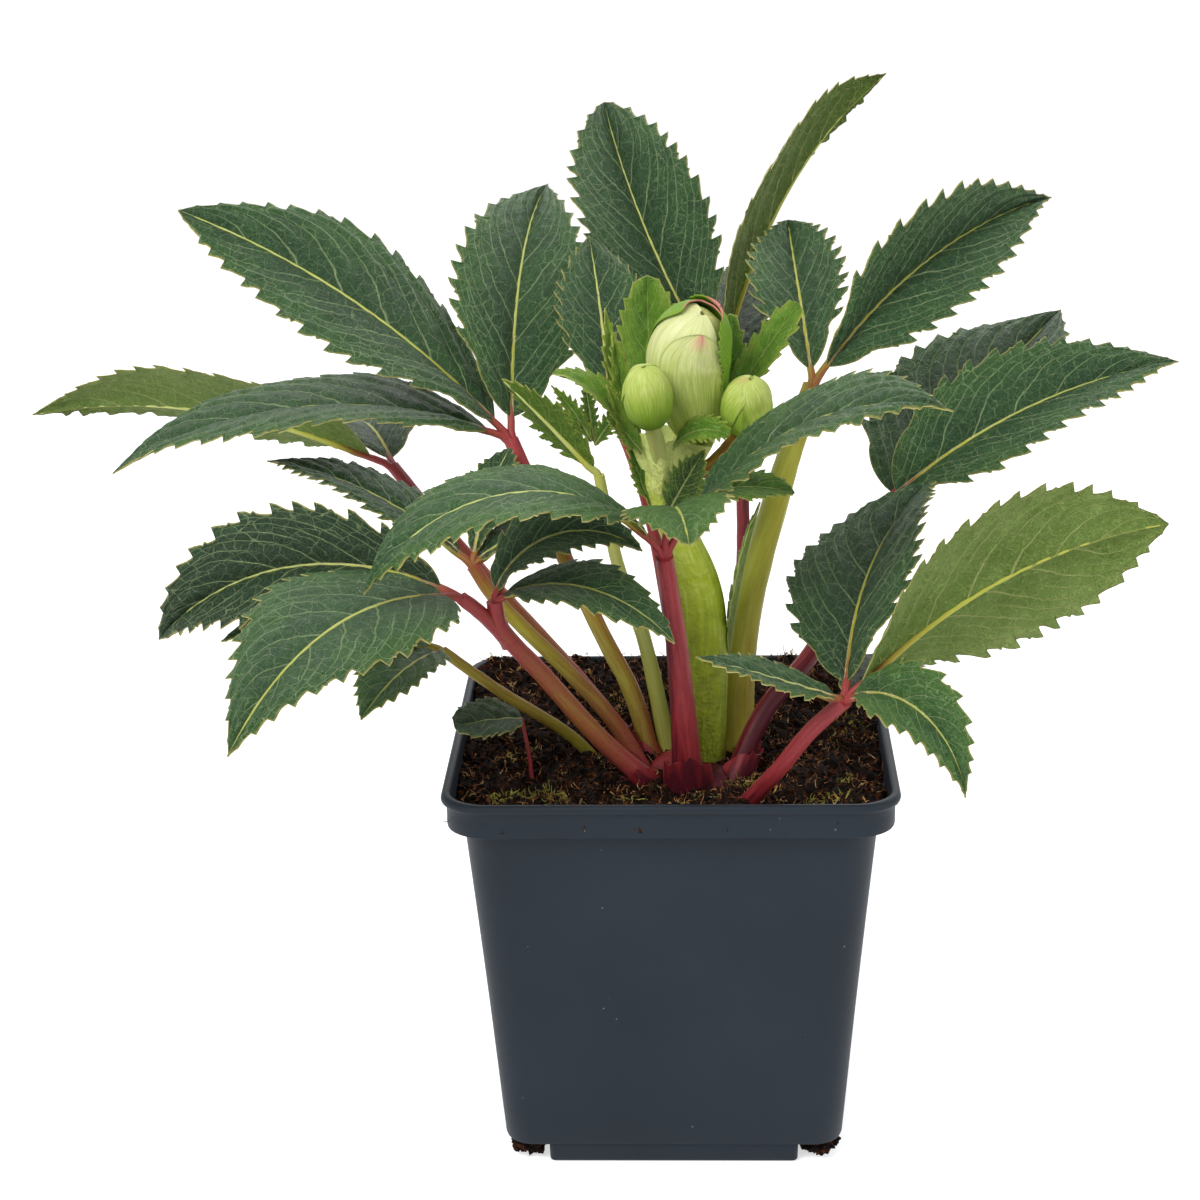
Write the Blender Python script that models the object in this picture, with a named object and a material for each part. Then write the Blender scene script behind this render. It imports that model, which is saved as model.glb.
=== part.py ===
"""Potted hellebore in a square nursery pot, in bud.

Lengths are in millimetres until mesh_object() turns them into metres. +Z is up,
the pot's front faces -Y and the middle of its base is the origin. Each stalk,
leaf blade, bract and bud is its own solid, GAP apart from what carries it.
"""
import math
from collections import namedtuple

import bpy
from mathutils import Vector

MM = 0.001
GAP = 0.3

# Pot: a square tapered nursery pot with a folded rim.
POT_HEIGHT = 120.0
POT_RIM = 130.0
POT_BAND = 127.0
BAND_HEIGHT = 10.5
BODY_TOP = 118.0
BODY_FOOT = 100.0
RIM_CORNER = 12.0
FOOT_CORNER = 9.0
WALL = 1.2
PLATFORM_HEIGHT = 6.0
PLATFORM_WIDTH = 97.5
NOTCH = 12.0
DRAIN_RADIUS = 4.0
CORNER_STEPS = 5

# Compost: drawn up a little round the plant, and heaped almost to the rim at the back.
SOIL_EDGE = 112.5
SOIL_BACK = 6.5
HEAP_FROM = -10.0
HEAP_RUN = 70.0
SOIL_MOUND = 3.0
MOUND_RADIUS = 38.0

# Crown: the knob of rootstock that the stalks grow from.
CROWN_CENTRE = Vector((6, -21, 107))
CROWN_RADII = Vector((19, 18, 13))

# Blades: thin, skinned through every fourth of the fine steps along the midrib. Stubs
# and stems end in a small dome; buds and the crown end in small flats at their poles.
BLADE_THICKNESS = 0.8
FINE_STEPS = 48
SKIN_EVERY = 4
TIP_WIDTH = 0.8
STUB_RADIUS = 1.3
DOME = 0.6
BUD_FLAT = 0.03
NECK_RISE = 0.3
CROWN_FLAT = 0.04

# Stalks: lower and upper radius, then the points that the centre line runs through.
Stalk = namedtuple("Stalk", "foot top route")
STALKS = {
    "tall_left": Stalk(3.0, 2.3, [(-5, -16, 112), (-11, -8, 132), (-21, 3, 149), (-37, 20, 178),
                                  (-48, 30, 201)]),
    "far_left": Stalk(2.6, 2.0, [(-8, -9, 112), (-28, 6, 133), (-53, 30, 153), (-72, 48, 169),
                                 (-88, 66, 183)]),
    "low_left": Stalk(3.2, 2.3, [(-4, -29, 111), (-20, -33, 128), (-36, -37, 149), (-47, -41, 164),
                                 (-49, -42, 173)]),
    "mid_left": Stalk(2.8, 1.9, [(-7, -23, 112), (-17, -20, 129), (-30, -14, 142), (-50, -8, 161),
                                 (-58, -5, 172)]),
    "front": Stalk(5.2, 2.5, [(5, -32, 110), (4, -36, 133), (2, -41, 160), (-1, -50, 188)]),
    "upper_right": Stalk(5.8, 2.8, [(18, -10, 110), (22, -6, 155), (32, 0, 193), (37, 5, 208),
                                    (42, 10, 222)]),
    "right": Stalk(3.2, 2.4, [(17, -28, 110), (27, -22, 132), (41, -14, 147), (53, -4, 166), (62, 5, 186)]),
    "low_right": Stalk(2.6, 2.2, [(18, -43, 108), (30, -54, 126), (39, -62, 141), (48, -70, 153)]),
    "low_back_left": Stalk(2.0, 1.6, [(-18, -8, 106), (-30, -11, 121), (-49, -16, 136), (-66, -21, 151)]),
    "back": Stalk(2.4, 1.9, [(14, 0, 108), (20, 10, 145), (22, 28, 167), (21, 46, 190), (15, 66, 212)]),
    "rear_left": Stalk(2.3, 1.8, [(6, -4, 110), (0, 5, 150), (-7, 18, 185), (-18, 28, 214)]),
    "young": Stalk(2.8, 1.6, [(0, -11, 111), (-7, -13, 149), (-15, -14, 175), (-20, -15, 202)]),
}

# The low left stalk forks before its blades; the branch carries the outer two.
FORK = Stalk(2.2, 2.0, [(-45, -40, 160), (-52, -43, 169), (-58, -45, 175)])

# Blades. heading: degrees round from +X. rise: slope at the stalk. droop and sweep:
# how far the slope and the heading turn by the tip. roll and twist tip the blade
# sideways, fold lifts both halves from the midrib. widest and full shape the outline,
# and bare is the stretch of midrib that the stalk's stub takes, in 48ths of the length.
Blade = namedtuple(
    "Blade", "heading rise droop sweep length width roll twist fold widest full bare",
    defaults=(0, 0, 10, 0.42, 0.75, 3))
LEAFLETS = {
    "tall_left": [
        Blade(175, 50, 30, 0, 122, 54, 8, 36, 5, 0.45, 0.8),
        Blade(90, 66, 58, -10, 110, 47, -22, 18, 20, 0.38),
        Blade(189, 27, 59, -2, 125, 51, 6, -2, 4, 0.44)],
    "far_left": [
        Blade(168, 23, 38, -9, 131, 50, -44, 10, 8, 0.4),
        Blade(110, 25, 60, 0, 70, 32, 5, 0, 15)],
    "low_left": [
        Blade(-26, 35, 80, 2, 61, 25, -14, -4, 5),
        Blade(0, 78, 118, 0, 53, 22, -35, -9, 20)],
    "low_left_fork": [
        Blade(232, 21, 56, 16, 109, 51, 13, -5, 2, 0.36, 0.66),
        Blade(166, 25, 74, -2, 103, 40, 66, 3, 30, 0.45, 0.78)],
    "mid_left": [
        Blade(160, 41, 41, -4, 74, 31, -1, 0, 6, 0.45, 0.9),
        Blade(20, 40, 50, 0, 42, 20, -10, 0, 10),
        Blade(70, 66, 45, 0, 42, 18, 0, 0, 10, 0.5, 0.9, 4)],
    "front": [
        Blade(205, 58, 118, -12, 102, 44, 6, 0, 0, 0.45, 0.88, 4),
        Blade(-80, 78, 114, 0, 51, 31, -8, 0, 5, 0.5, 0.9, 12),
        Blade(-10, 63, 65, -40, 109, 42, -24, 8, 5, 0.42, 1.0, 11)],
    "upper_right": [
        Blade(100, 54, 50, -10, 78, 33, 12, -4, 22, 0.42, 0.85),
        Blade(42, 42, 39, 0, 113, 42, -67, 10, 36, 0.42, 0.82)],
    "right": [
        Blade(52, 26, 8, 2, 110, 58, -5, 0, 15, 0.4, 0.7),
        Blade(18, 39, 36, 0, 103, 43, -38, 14, 22, 0.4, 0.67)],
    "low_right": [
        Blade(84, 50, 38, -34, 86, 46, 24, -8, 18, 0.42, 0.83),
        Blade(19, 44, 39, -7, 104, 50, 45, 60, 0, 0.47, 0.85),
        Blade(-42, 36, 115, -5, 54, 25, -30, 0, 22, 0.38, 0.78),
        Blade(196, 24, 4, 4, 46, 19, 16, -6, 5),
        Blade(64, 6, 20, 0, 52, 24, 0, 0, 10)],
    "low_back_left": [
        Blade(244, 12, 40, 0, 46, 26, 0, 0, 10),
        Blade(186, 30, 50, 0, 66, 30, 20, 0, 15)],
    "back": [
        Blade(123, 38, 0, -19, 119, 49, 22, -3, 29, 0.48),
        Blade(47, 73, 50, -3, 119, 50, 51, 7, 10, 0.42, 0.78),
        Blade(80, 22, 10, 0, 78, 34, 0, 0, 15)],
    "rear_left": [
        Blade(100, 62, 30, 0, 58, 30, 0, 0, 12)],
    "young": [
        Blade(168, 46, 4, 0, 39, 18, -60, 0, 8, 0.42, 0.72)],
}

# Flower stem and its buds.
STEM_ROUTE = [(9, -20, 112), (10, -20, 150), (8, -21, 172), (-1.5, -23, 197), (-0.5, -24, 206),
              (0, -24, 213)]
STEM_RADII = [6.6, 6.6, 6.2, 4.2, 7.0, 11.0]
LEFT_PEDICEL = [(-2, -28, 208), (-2.6, -34.5, 214), (-4.3, -38.9, 222.6)]
RIGHT_PEDICEL = [(2, -24, 204), (12, -28, 208), (20.3, -31.5, 217.4)]
PEDICEL_RADIUS = 2.0
Bud = namedtuple("Bud", "base direction length radius belly neck")
BUDS = {
    "main_bud": Bud((8.1, -25.5, 212.2), (-0.12, -0.02, 1), 41, 11.2, 0.68, 0.55),
    "left_bud": Bud((-4.5, -39.4, 223.8), (-0.1, -0.4, 1), 17.4, 7.2, 0.46, 0.3),
    "right_bud": Bud((21.0, -32.1, 218.8), (0.12, -0.35, 1), 16.6, 7.3, 0.5, 0.3),
}

# Bracts: small toothed leaves round the buds, each with the place it springs from.
BRACTS = {
    "upper_left_bract": ((-4, -13.2, 213), Blade(96, 42, -50, 0, 48, 20, 0, 0, 15, 0.6, 0.85)),
    "finger_bract": ((-10.8, -19.9, 213), Blade(166, 76, -8, 0, 39, 9, 50, 0, 15)),
    "left_bract": ((-11.3, -28.5, 213), Blade(188, 85, 75, 0, 33, 14, 40, -30, 15, 0.55, 0.8)),
    "right_bract": ((10.6, -20, 213), Blade(8, 58, 5, 0, 47, 12, -45, 0, 10, 0.68, 0.9)),
    "right_inner_bract": ((7.4, -15, 213), Blade(24, 43, -58, 0, 38, 9, -60, 0, 10, 0.65, 0.9)),
    "front_bract": ((2.5, -35.6, 213.6), Blade(-30, 62, 86, 10, 20, 10, -45, 0, 10, 0.6, 0.9)),
    "dark_bract": ((-0.5, -28.8, 194), Blade(-42, 58, 4, 0, 26, 12, -116, 0, 8, 0.48, 0.9)),
    "low_right_bract": ((3.6, -22.5, 196), Blade(4, 24, 42, 0, 33, 15, -25, 0, 10, 0.55, 0.9)),
}
SHEATH = ((17.2, -20, 150), Blade(0, 84, 10, 0, 46, 12, 0, 0, 20))

# A small rounded leaf of its own, low over the compost on the left.
SEEDLING_ROUTE = [(-40, -30, 106), (-41, -30, 121), (-43, -29, 133)]
SEEDLING_RADIUS = 1.0
SEEDLING = Blade(195, 5, 30, 0, 20, 22, 30, 0, 5, 0.5, 0.45)

COLOURS = {
    "pot": (0.035, 0.042, 0.055),
    "compost": (0.03, 0.018, 0.01),
    "crown": (0.12, 0.03, 0.03),
    "red_stalk": (0.25, 0.03, 0.06),
    "green_stem": (0.3, 0.42, 0.08),
    "leaf": (0.03, 0.09, 0.045),
    "bract": (0.1, 0.28, 0.05),
    "bud": (0.45, 0.55, 0.2),
}
ROUGHNESS = {"pot": 0.5, "compost": 0.95, "leaf": 0.45}


def clear_scene():
    """Remove whatever the file opened with."""
    for item in list(bpy.data.objects):
        bpy.data.objects.remove(item, do_unlink=True)


def material(name, colour):
    """Principled material in one plain colour."""
    made = bpy.data.materials.new(name)
    made.use_nodes = True
    shader = made.node_tree.nodes["Principled BSDF"]
    shader.inputs["Base Color"].default_value = (*COLOURS[colour], 1.0)
    shader.inputs["Roughness"].default_value = ROUGHNESS.get(colour, 0.6)
    made.diffuse_color = (*COLOURS[colour], 1.0)
    return made


def mesh_object(name, points, faces, colour):
    """Closed mesh from points in millimetres, with its own material."""
    mesh = bpy.data.meshes.new(name)
    mesh.from_pydata([Vector(p) * MM for p in points], [], faces)
    mesh.validate()
    mesh.update()
    mesh.materials.append(material(name, colour))
    made = bpy.data.objects.new(name, mesh)
    bpy.context.scene.collection.objects.link(made)
    return made


def as_cutter(item):
    """Mark an object as a tool for Booleans, left out of the model."""
    item.hide_render = True
    item.display_type = "WIRE"
    return item


def boolean(item, tools, operation):
    """Join or cut an object with each tool in turn."""
    for tool in tools:
        step = item.modifiers.new(f"{operation.lower()}_{tool.name}", "BOOLEAN")
        step.operation = operation
        step.object = as_cutter(tool)


def loft(name, rings, colour):
    """Skin through rings of equal count, closed by a flat face at both ends."""
    count = len(rings[0])
    points = [p for ring in rings for p in ring]
    faces = [list(range(count))[::-1]]
    for row in range(len(rings) - 1):
        low = row * count
        for k in range(count):
            after = (k + 1) % count
            faces.append((low + k, low + after, low + count + after, low + count + k))
    faces.append(list(range(len(points) - count, len(points))))
    return mesh_object(name, points, faces, colour)


def rounded_square(width, corner, height):
    """Ring of points round a square with rounded corners."""
    ring = []
    inner = width / 2 - corner
    for quarter, (sx, sy) in enumerate(((1, 1), (-1, 1), (-1, -1), (1, -1))):
        for step in range(CORNER_STEPS + 1):
            angle = math.radians(90 * (quarter + step / CORNER_STEPS))
            ring.append((sx * inner + corner * math.cos(angle),
                         sy * inner + corner * math.sin(angle), height))
    return ring


def smooth_route(route, steps):
    """Points on a Catmull-Rom curve through the route's own points."""
    points = [Vector(p) for p in route]
    padded = [2 * points[0] - points[1], *points, 2 * points[-1] - points[-2]]
    curve = []
    for i in range(len(points) - 1):
        a, b, c, d = padded[i:i + 4]
        for k in range(steps):
            t = k / steps
            curve.append(0.5 * (2 * b + (c - a) * t + (2 * a - 5 * b + 4 * c - d) * t * t
                                + (3 * b - a - 3 * c + d) * t ** 3))
    curve.append(points[-1])
    return curve


def tube(name, centres, radii, colour, sides=8, dome=DOME):
    """Round tube along a line of centres, with a small dome at its end."""
    directions = [(centres[min(i + 1, len(centres) - 1)] - centres[max(i - 1, 0)]).normalized()
                  for i in range(len(centres))]
    across = directions[0].orthogonal().normalized()
    rings = []
    for centre, direction, radius in zip(centres, directions, radii):
        across = (across - direction * across.dot(direction)).normalized()
        other = direction.cross(across)
        rings.append([centre + radius * (across * math.cos(a) + other * math.sin(a))
                      for a in (math.tau * k / sides for k in range(sides))])
    tip = centres[-1] + directions[-1] * radii[-1] * dome
    rings.append([tip + (p - centres[-1]) * DOME for p in rings[-1]])
    return loft(name, rings, colour)


def stalk_tube(name, stalk, colour, swell=0.0, steps=3):
    """Stalk tube that thins from foot to top; swell widens it, for a cutter."""
    centres = smooth_route(stalk.route, steps)
    last = len(centres) - 1
    radii = [stalk.foot + (stalk.top - stalk.foot) * (k / last) ** 0.6 + swell
             for k in range(last + 1)]
    return tube(name, centres, radii, colour)


def blade_frames(base, blade):
    """Midrib points with the sideways, upward and forward directions at each."""
    point = Vector(base)
    frames = []
    for k in range(FINE_STEPS + 1):
        s = k / FINE_STEPS
        turn = math.radians(blade.heading + blade.sweep * s)
        slope = math.radians(blade.rise - blade.droop * s)
        along = Vector((math.cos(slope) * math.cos(turn),
                        math.cos(slope) * math.sin(turn), math.sin(slope)))
        if k:
            point = point + (along + before) * (blade.length / FINE_STEPS / 2)
        before = along
        level = Vector((math.sin(turn), -math.cos(turn), 0))
        above = level.cross(along)
        roll = math.radians(blade.roll + blade.twist * s)
        side = level * math.cos(roll) + above * math.sin(roll)
        up = above * math.cos(roll) - level * math.sin(roll)
        frames.append((s, point, side, up, along))
    return frames


def half_width(blade, s, bare):
    """Half the width of a blade, from nothing at its bare end to nothing at the tip."""
    start = bare / FINE_STEPS
    u = min(max((s - start) / (1 - start), 0.0), 1.0)
    m = blade.widest
    shape = (u / m) ** blade.full * ((1 - u) / (1 - m)) ** (blade.full * (1 - m) / m)
    return max(blade.width / 2 * shape, TIP_WIDTH)


def leaf_blade(name, base, blade, colour, bare):
    """Thin folded blade: a ridge line and two edges above, the same below."""
    frames = blade_frames(base, blade)[bare:]
    chosen = frames[:-SKIN_EVERY // 2:SKIN_EVERY] + [frames[-1]]
    fold = math.radians(blade.fold)
    rings = []
    for s, point, side, up, along in chosen:
        if bare and not rings:
            point = point + along * (DOME * STUB_RADIUS + GAP)
        reach = half_width(blade, s, bare)
        edges = [point + reach * (sign * side * math.cos(fold) + up * math.sin(fold))
                 for sign in (1, -1)]
        rise = up * (BLADE_THICKNESS / 2)
        rings.append([edges[0] + rise, point + rise, edges[1] + rise,
                      edges[1] - rise, point - rise, edges[0] - rise])
    return loft(name, [ring[::-1] for ring in rings], colour)


def stub(name, base, blade):
    """Short round stalk from the hub to where a blade begins."""
    frames = blade_frames(base, blade)[:blade.bare + 1]
    return tube(name, [f[1] for f in frames], [STUB_RADIUS] * len(frames), "red_stalk", 6)


def bud(name, shape, colour, steps=8, sides=12):
    """Egg on its own axis, fullest at the belly, with a neck below it and a blunt tip."""
    axis = Vector(shape.direction).normalized()
    across = axis.orthogonal().normalized()
    other = axis.cross(across)
    rings = []
    for k in range(steps + 1):
        t = BUD_FLAT + (1 - 2 * BUD_FLAT) * k / steps
        rest = 1 - shape.belly
        globe = (t / shape.belly) ** (0.5 * shape.belly / rest) * ((1 - t) / rest) ** 0.5
        neck = shape.neck * math.sin(math.pi / 2 * min(t / NECK_RISE, 1)) * min((1 - t) / rest, 1)
        spread = (globe ** 4 + neck ** 4) ** 0.25
        centre = Vector(shape.base) + axis * (shape.length * t)
        rings.append([centre + shape.radius * spread * (across * math.cos(a) + other * math.sin(a))
                      for a in (math.tau * j / sides for j in range(sides))])
    return loft(name, rings, colour)


def ellipsoid(name, centre, radii, colour, swell=0.0, rings=8, sides=16):
    """Ellipsoid with small flat ends."""
    stack = []
    for k in range(rings + 1):
        angle = math.pi * (CROWN_FLAT + (1 - 2 * CROWN_FLAT) * k / rings)
        stack.append([(centre.x + (radii.x + swell) * math.sin(angle) * math.cos(turn),
                       centre.y + (radii.y + swell) * math.sin(angle) * math.sin(turn),
                       centre.z - (radii.z + swell) * math.cos(angle))
                      for turn in (math.tau * j / sides for j in range(sides))])
    return loft(name, stack, colour)


def build_pot():
    """Thin-walled pot: folded rim, tapered body, raised floor on a notched platform."""
    band_foot = POT_HEIGHT - BAND_HEIGHT
    body_corner = FOOT_CORNER + 2
    pot = loft("pot", [
        rounded_square(BODY_FOOT, FOOT_CORNER, PLATFORM_HEIGHT),
        rounded_square(BODY_TOP, body_corner, band_foot),
        rounded_square(POT_BAND - 0.6, RIM_CORNER, band_foot),
        rounded_square(POT_BAND, RIM_CORNER, POT_HEIGHT - 3),
        rounded_square(POT_RIM - 0.6, RIM_CORNER, POT_HEIGHT - 2.6),
        rounded_square(POT_RIM, RIM_CORNER, POT_HEIGHT - 1.2),
        rounded_square(POT_RIM - 1.6, RIM_CORNER, POT_HEIGHT),
        rounded_square(POT_BAND - 2 * WALL, RIM_CORNER - 1, POT_HEIGHT),
        rounded_square(POT_BAND - 2 * WALL - 1, RIM_CORNER - 1, band_foot + WALL),
        rounded_square(BODY_TOP - 2 * WALL, body_corner - 1, band_foot + WALL - 0.4),
        rounded_square(BODY_FOOT - 2 * WALL, FOOT_CORNER - 1, PLATFORM_HEIGHT + WALL),
    ], "pot")
    platform = loft("pot_platform", [
        rounded_square(PLATFORM_WIDTH, FOOT_CORNER, 0),
        rounded_square(PLATFORM_WIDTH, FOOT_CORNER, PLATFORM_HEIGHT + WALL / 2),
    ], "pot")
    well = loft("pot_well", [
        rounded_square(PLATFORM_WIDTH - 2 * WALL, FOOT_CORNER - 1, WALL),
        rounded_square(PLATFORM_WIDTH - 2 * WALL, FOOT_CORNER - 1, PLATFORM_HEIGHT + 2 * WALL),
    ], "pot")
    notches = corner_blocks("pot_notch", NOTCH, -1, PLATFORM_HEIGHT)
    ledges = corner_blocks("pot_ledge", NOTCH + WALL, 0, PLATFORM_HEIGHT + WALL)
    drains = [drain_hole(k) for k in range(4)]
    boolean(well, ledges, "DIFFERENCE")
    boolean(pot, [platform], "UNION")
    boolean(pot, notches + [well] + drains, "DIFFERENCE")
    return pot


def corner_blocks(name, reach, low, high):
    """Four blocks that stand on the platform's corners."""
    outer = BODY_FOOT
    inner = PLATFORM_WIDTH / 2 - reach
    blocks = []
    for k, (sx, sy) in enumerate(((1, 1), (-1, 1), (-1, -1), (1, -1))):
        corners = [(inner, inner), (outer, inner), (outer, outer), (inner, outer)]
        ring = [(sx * x, sy * y) for x, y in (corners if sx * sy > 0 else corners[::-1])]
        blocks.append(loft(f"{name}_{k + 1}", [[(x, y, z) for x, y in ring] for z in (low, high)],
                           "pot"))
    return blocks


def drain_hole(k):
    """Round cutter through the raised floor at one corner."""
    place = PLATFORM_WIDTH / 2 - NOTCH / 2 - 1
    angle = math.radians(45 + 90 * k)
    centre = Vector((place * math.copysign(1, math.cos(angle)),
                     place * math.copysign(1, math.sin(angle)), 0))
    return tube(f"pot_drain_{k + 1}",
                [centre + Vector((0, 0, z)) for z in (PLATFORM_HEIGHT - 2, PLATFORM_HEIGHT + 4)],
                [DRAIN_RADIUS] * 2, "pot", 12)


def soil_height(x, y):
    """Surface of the compost, mounded round the crown and heaped at the back."""
    away = math.hypot(x - CROWN_CENTRE.x, y - CROWN_CENTRE.y)
    heap = SOIL_BACK * min(max((y - HEAP_FROM) / HEAP_RUN, 0), 1)
    return SOIL_EDGE + heap + SOIL_MOUND * math.exp(-(away / MOUND_RADIUS) ** 2)


def build_compost():
    """Block of compost that fills the pot and its platform."""
    floor = PLATFORM_HEIGHT + WALL + GAP
    band_foot = POT_HEIGHT - BAND_HEIGHT
    slack = 2 * (WALL + GAP)
    rim_width = POT_BAND - slack - 1
    rings = [rounded_square(BODY_FOOT - slack, FOOT_CORNER - 1, floor),
             rounded_square(BODY_TOP - slack, FOOT_CORNER + 1, band_foot + WALL),
             rounded_square(rim_width, RIM_CORNER - 1, band_foot + WALL + GAP)]
    for share in (1.0, 0.92, 0.75, 0.55, 0.35, 0.15):
        rings.append([(x, y, soil_height(x, y))
                      for x, y, _ in rounded_square(rim_width * share, (RIM_CORNER - 1) * share, 0)])
    compost = loft("compost", rings, "compost")
    filling = loft("compost_filling", [
        rounded_square(PLATFORM_WIDTH - 2 * WALL - 2 * GAP, FOOT_CORNER - 1, WALL + GAP),
        rounded_square(PLATFORM_WIDTH - 2 * WALL - 2 * GAP, FOOT_CORNER - 1, floor + 1)],
        "compost")
    boolean(filling, corner_blocks("compost_corner", NOTCH + WALL + GAP, 0, floor), "DIFFERENCE")
    boolean(compost, [filling], "UNION")
    return compost


def build_stalk(name):
    """Leaf stalk with the short stubs that carry its blades."""
    made = stalk_tube(f"{name}_stalk", STALKS[name], "red_stalk")
    hub = STALKS[name].route[-1]
    branches = [stub(f"{name}_stub_{k + 1}", hub, blade)
                for k, blade in enumerate(LEAFLETS[name])]
    if name == "low_left":
        fork = FORK.route[-1]
        branches.append(stalk_tube("low_left_branch", FORK, "red_stalk"))
        branches += [stub(f"low_left_fork_stub_{k + 1}", fork, blade)
                     for k, blade in enumerate(LEAFLETS["low_left_fork"])]
    boolean(made, branches, "UNION")
    return made


def build_leaflets():
    """Every blade on its stalk, one solid each."""
    hubs = {name: stalk.route[-1] for name, stalk in STALKS.items()}
    hubs["low_left_fork"] = FORK.route[-1]
    for name, blades in LEAFLETS.items():
        for k, blade in enumerate(blades):
            leaf_blade(f"{name}_leaflet_{k + 1}", hubs[name], blade, "leaf", blade.bare)


def build_flower_stem():
    """Thick stem with a flared top and a short pedicel to each side bud."""
    centres = smooth_route(STEM_ROUTE, 3)
    last = len(centres) - 1
    radii = []
    for k in range(last + 1):
        where = k / last * (len(STEM_RADII) - 1)
        low = min(int(where), len(STEM_RADII) - 2)
        radii.append(STEM_RADII[low] + (STEM_RADII[low + 1] - STEM_RADII[low]) * (where - low))
    stem = tube("flower_stem", centres, radii, "green_stem", 12, 0.04)
    pedicels = [tube("left_pedicel", smooth_route(LEFT_PEDICEL, 3), [PEDICEL_RADIUS] * 7, "green_stem"),
                tube("right_pedicel", smooth_route(RIGHT_PEDICEL, 3), [PEDICEL_RADIUS] * 7, "green_stem")]
    boolean(stem, pedicels, "UNION")
    return stem, centres, radii


def main():
    """Build the pot, the compost and the plant."""
    clear_scene()
    build_pot()
    compost = build_compost()
    ellipsoid("crown", CROWN_CENTRE, CROWN_RADII, "crown")
    crown_room = ellipsoid("crown_room", CROWN_CENTRE, CROWN_RADII, "crown", GAP)
    stem, stem_centres, stem_radii = build_flower_stem()
    boolean(stem, [crown_room], "DIFFERENCE")
    stem_room = tube("stem_room", stem_centres[:4], [r + GAP for r in stem_radii[:4]], "green_stem", 12)
    rooms = [crown_room, stem_room]
    for name in STALKS:
        boolean(build_stalk(name), [crown_room], "DIFFERENCE")
        rooms.append(stalk_tube(f"{name}_room", STALKS[name], "red_stalk", GAP))
    seedling_stalk = Stalk(SEEDLING_RADIUS, SEEDLING_RADIUS, SEEDLING_ROUTE)
    seedling = stalk_tube("seedling_leaf", seedling_stalk, "leaf", 0, 2)
    boolean(seedling, [leaf_blade("seedling_blade", SEEDLING_ROUTE[-1], SEEDLING, "leaf", 0)], "UNION")
    rooms.append(stalk_tube("seedling_room", seedling_stalk, "leaf", GAP, 2))
    boolean(compost, rooms, "DIFFERENCE")
    build_leaflets()
    for name, shape in BUDS.items():
        bud(name, shape, "bud")
    for name, (base, blade) in BRACTS.items():
        leaf_blade(name, base, blade, "bract", 0)
    leaf_blade("sheath_bract", *SHEATH, "bract", 0)


main()
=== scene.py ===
"""Potted hellebore in bud, dressed for rendering on the frame that the CAD part gives.

Lengths are in millimetres and become metres as each mesh is made. +Z is up and the
pot's front faces -Y. Nothing moves: every piece rides with the pot.
"""

import math
from collections import namedtuple

import bpy
import numpy as np
from mathutils import Matrix, Vector, noise


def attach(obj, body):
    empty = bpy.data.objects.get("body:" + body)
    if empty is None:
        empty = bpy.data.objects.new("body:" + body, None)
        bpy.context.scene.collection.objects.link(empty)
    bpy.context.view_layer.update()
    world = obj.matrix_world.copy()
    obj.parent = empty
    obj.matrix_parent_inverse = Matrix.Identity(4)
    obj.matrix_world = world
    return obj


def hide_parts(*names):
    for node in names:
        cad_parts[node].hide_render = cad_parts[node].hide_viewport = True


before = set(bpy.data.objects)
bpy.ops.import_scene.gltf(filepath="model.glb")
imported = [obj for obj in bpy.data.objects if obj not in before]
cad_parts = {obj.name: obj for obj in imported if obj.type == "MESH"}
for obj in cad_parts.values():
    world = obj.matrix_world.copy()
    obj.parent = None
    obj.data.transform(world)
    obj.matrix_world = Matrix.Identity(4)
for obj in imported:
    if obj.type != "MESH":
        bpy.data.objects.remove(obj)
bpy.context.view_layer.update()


# ---------------------------------------------------------------- Pot
# A square tapered nursery pot, injection moulded in slate-grey polypropylene. The rim
# folds over into a band with a beaded lip, and the floor stands on a raised platform
# that is cut away round a drain hole at each corner.

MM = 0.001
POT_HEIGHT = 120.0
POT_RIM = 130.0
POT_BAND = 127.0
BAND_FOOT = 109.5
BODY_TOP = 118.0
BODY_FOOT = 100.0
RIM_CORNER = 12.0
FOOT_CORNER = 9.0
WALL = 1.2
PLATFORM_HEIGHT = 6.0
PLATFORM_WIDTH = 97.5
NOTCH = 12.0
NOTCH_EASE = 1.6
DRAIN_RADIUS = 4.0
DRAIN_SIDES = 24
DRAIN_CUT = (3, 9)
CORNER_STEPS = 14
CORNERS = ((1, 1), (-1, 1), (-1, -1), (1, -1))


def linear(code):
    """sRGB hex code as linear red, green, blue and alpha."""
    parts = [int(code[k:k + 2], 16) / 255 for k in (1, 3, 5)]
    return (*[p / 12.92 if p <= 0.04045 else ((p + 0.055) / 1.055) ** 2.4 for p in parts], 1.0)


def add(tree, kind, inputs=None, stops=None, **settings):
    """Add one node with its settings, values, links and colour stops."""
    made = tree.nodes.new(kind)
    for name, value in settings.items():
        setattr(made, name, value)
    for socket, value in (inputs or {}).items():
        if isinstance(value, bpy.types.Node):
            value = next(out for out in value.outputs if out.enabled)
        if isinstance(value, bpy.types.NodeSocket):
            tree.links.new(value, made.inputs[socket])
        else:
            made.inputs[socket].default_value = value
    for k, (place, code) in enumerate(stops or ()):
        ramp = made.color_ramp.elements
        stop = ramp[k] if k < 2 else ramp.new(place)
        stop.position = place
        stop.color = linear(code)
    return made


def new_material(name):
    """Material with an empty node tree."""
    made = bpy.data.materials.new(name)
    made.use_nodes = True
    made.node_tree.nodes.clear()
    return made, made.node_tree


def placed(name, data):
    """New object that holds the data, linked to the scene."""
    item = bpy.data.objects.new(name, data)
    bpy.context.scene.collection.objects.link(item)
    return item


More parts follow.
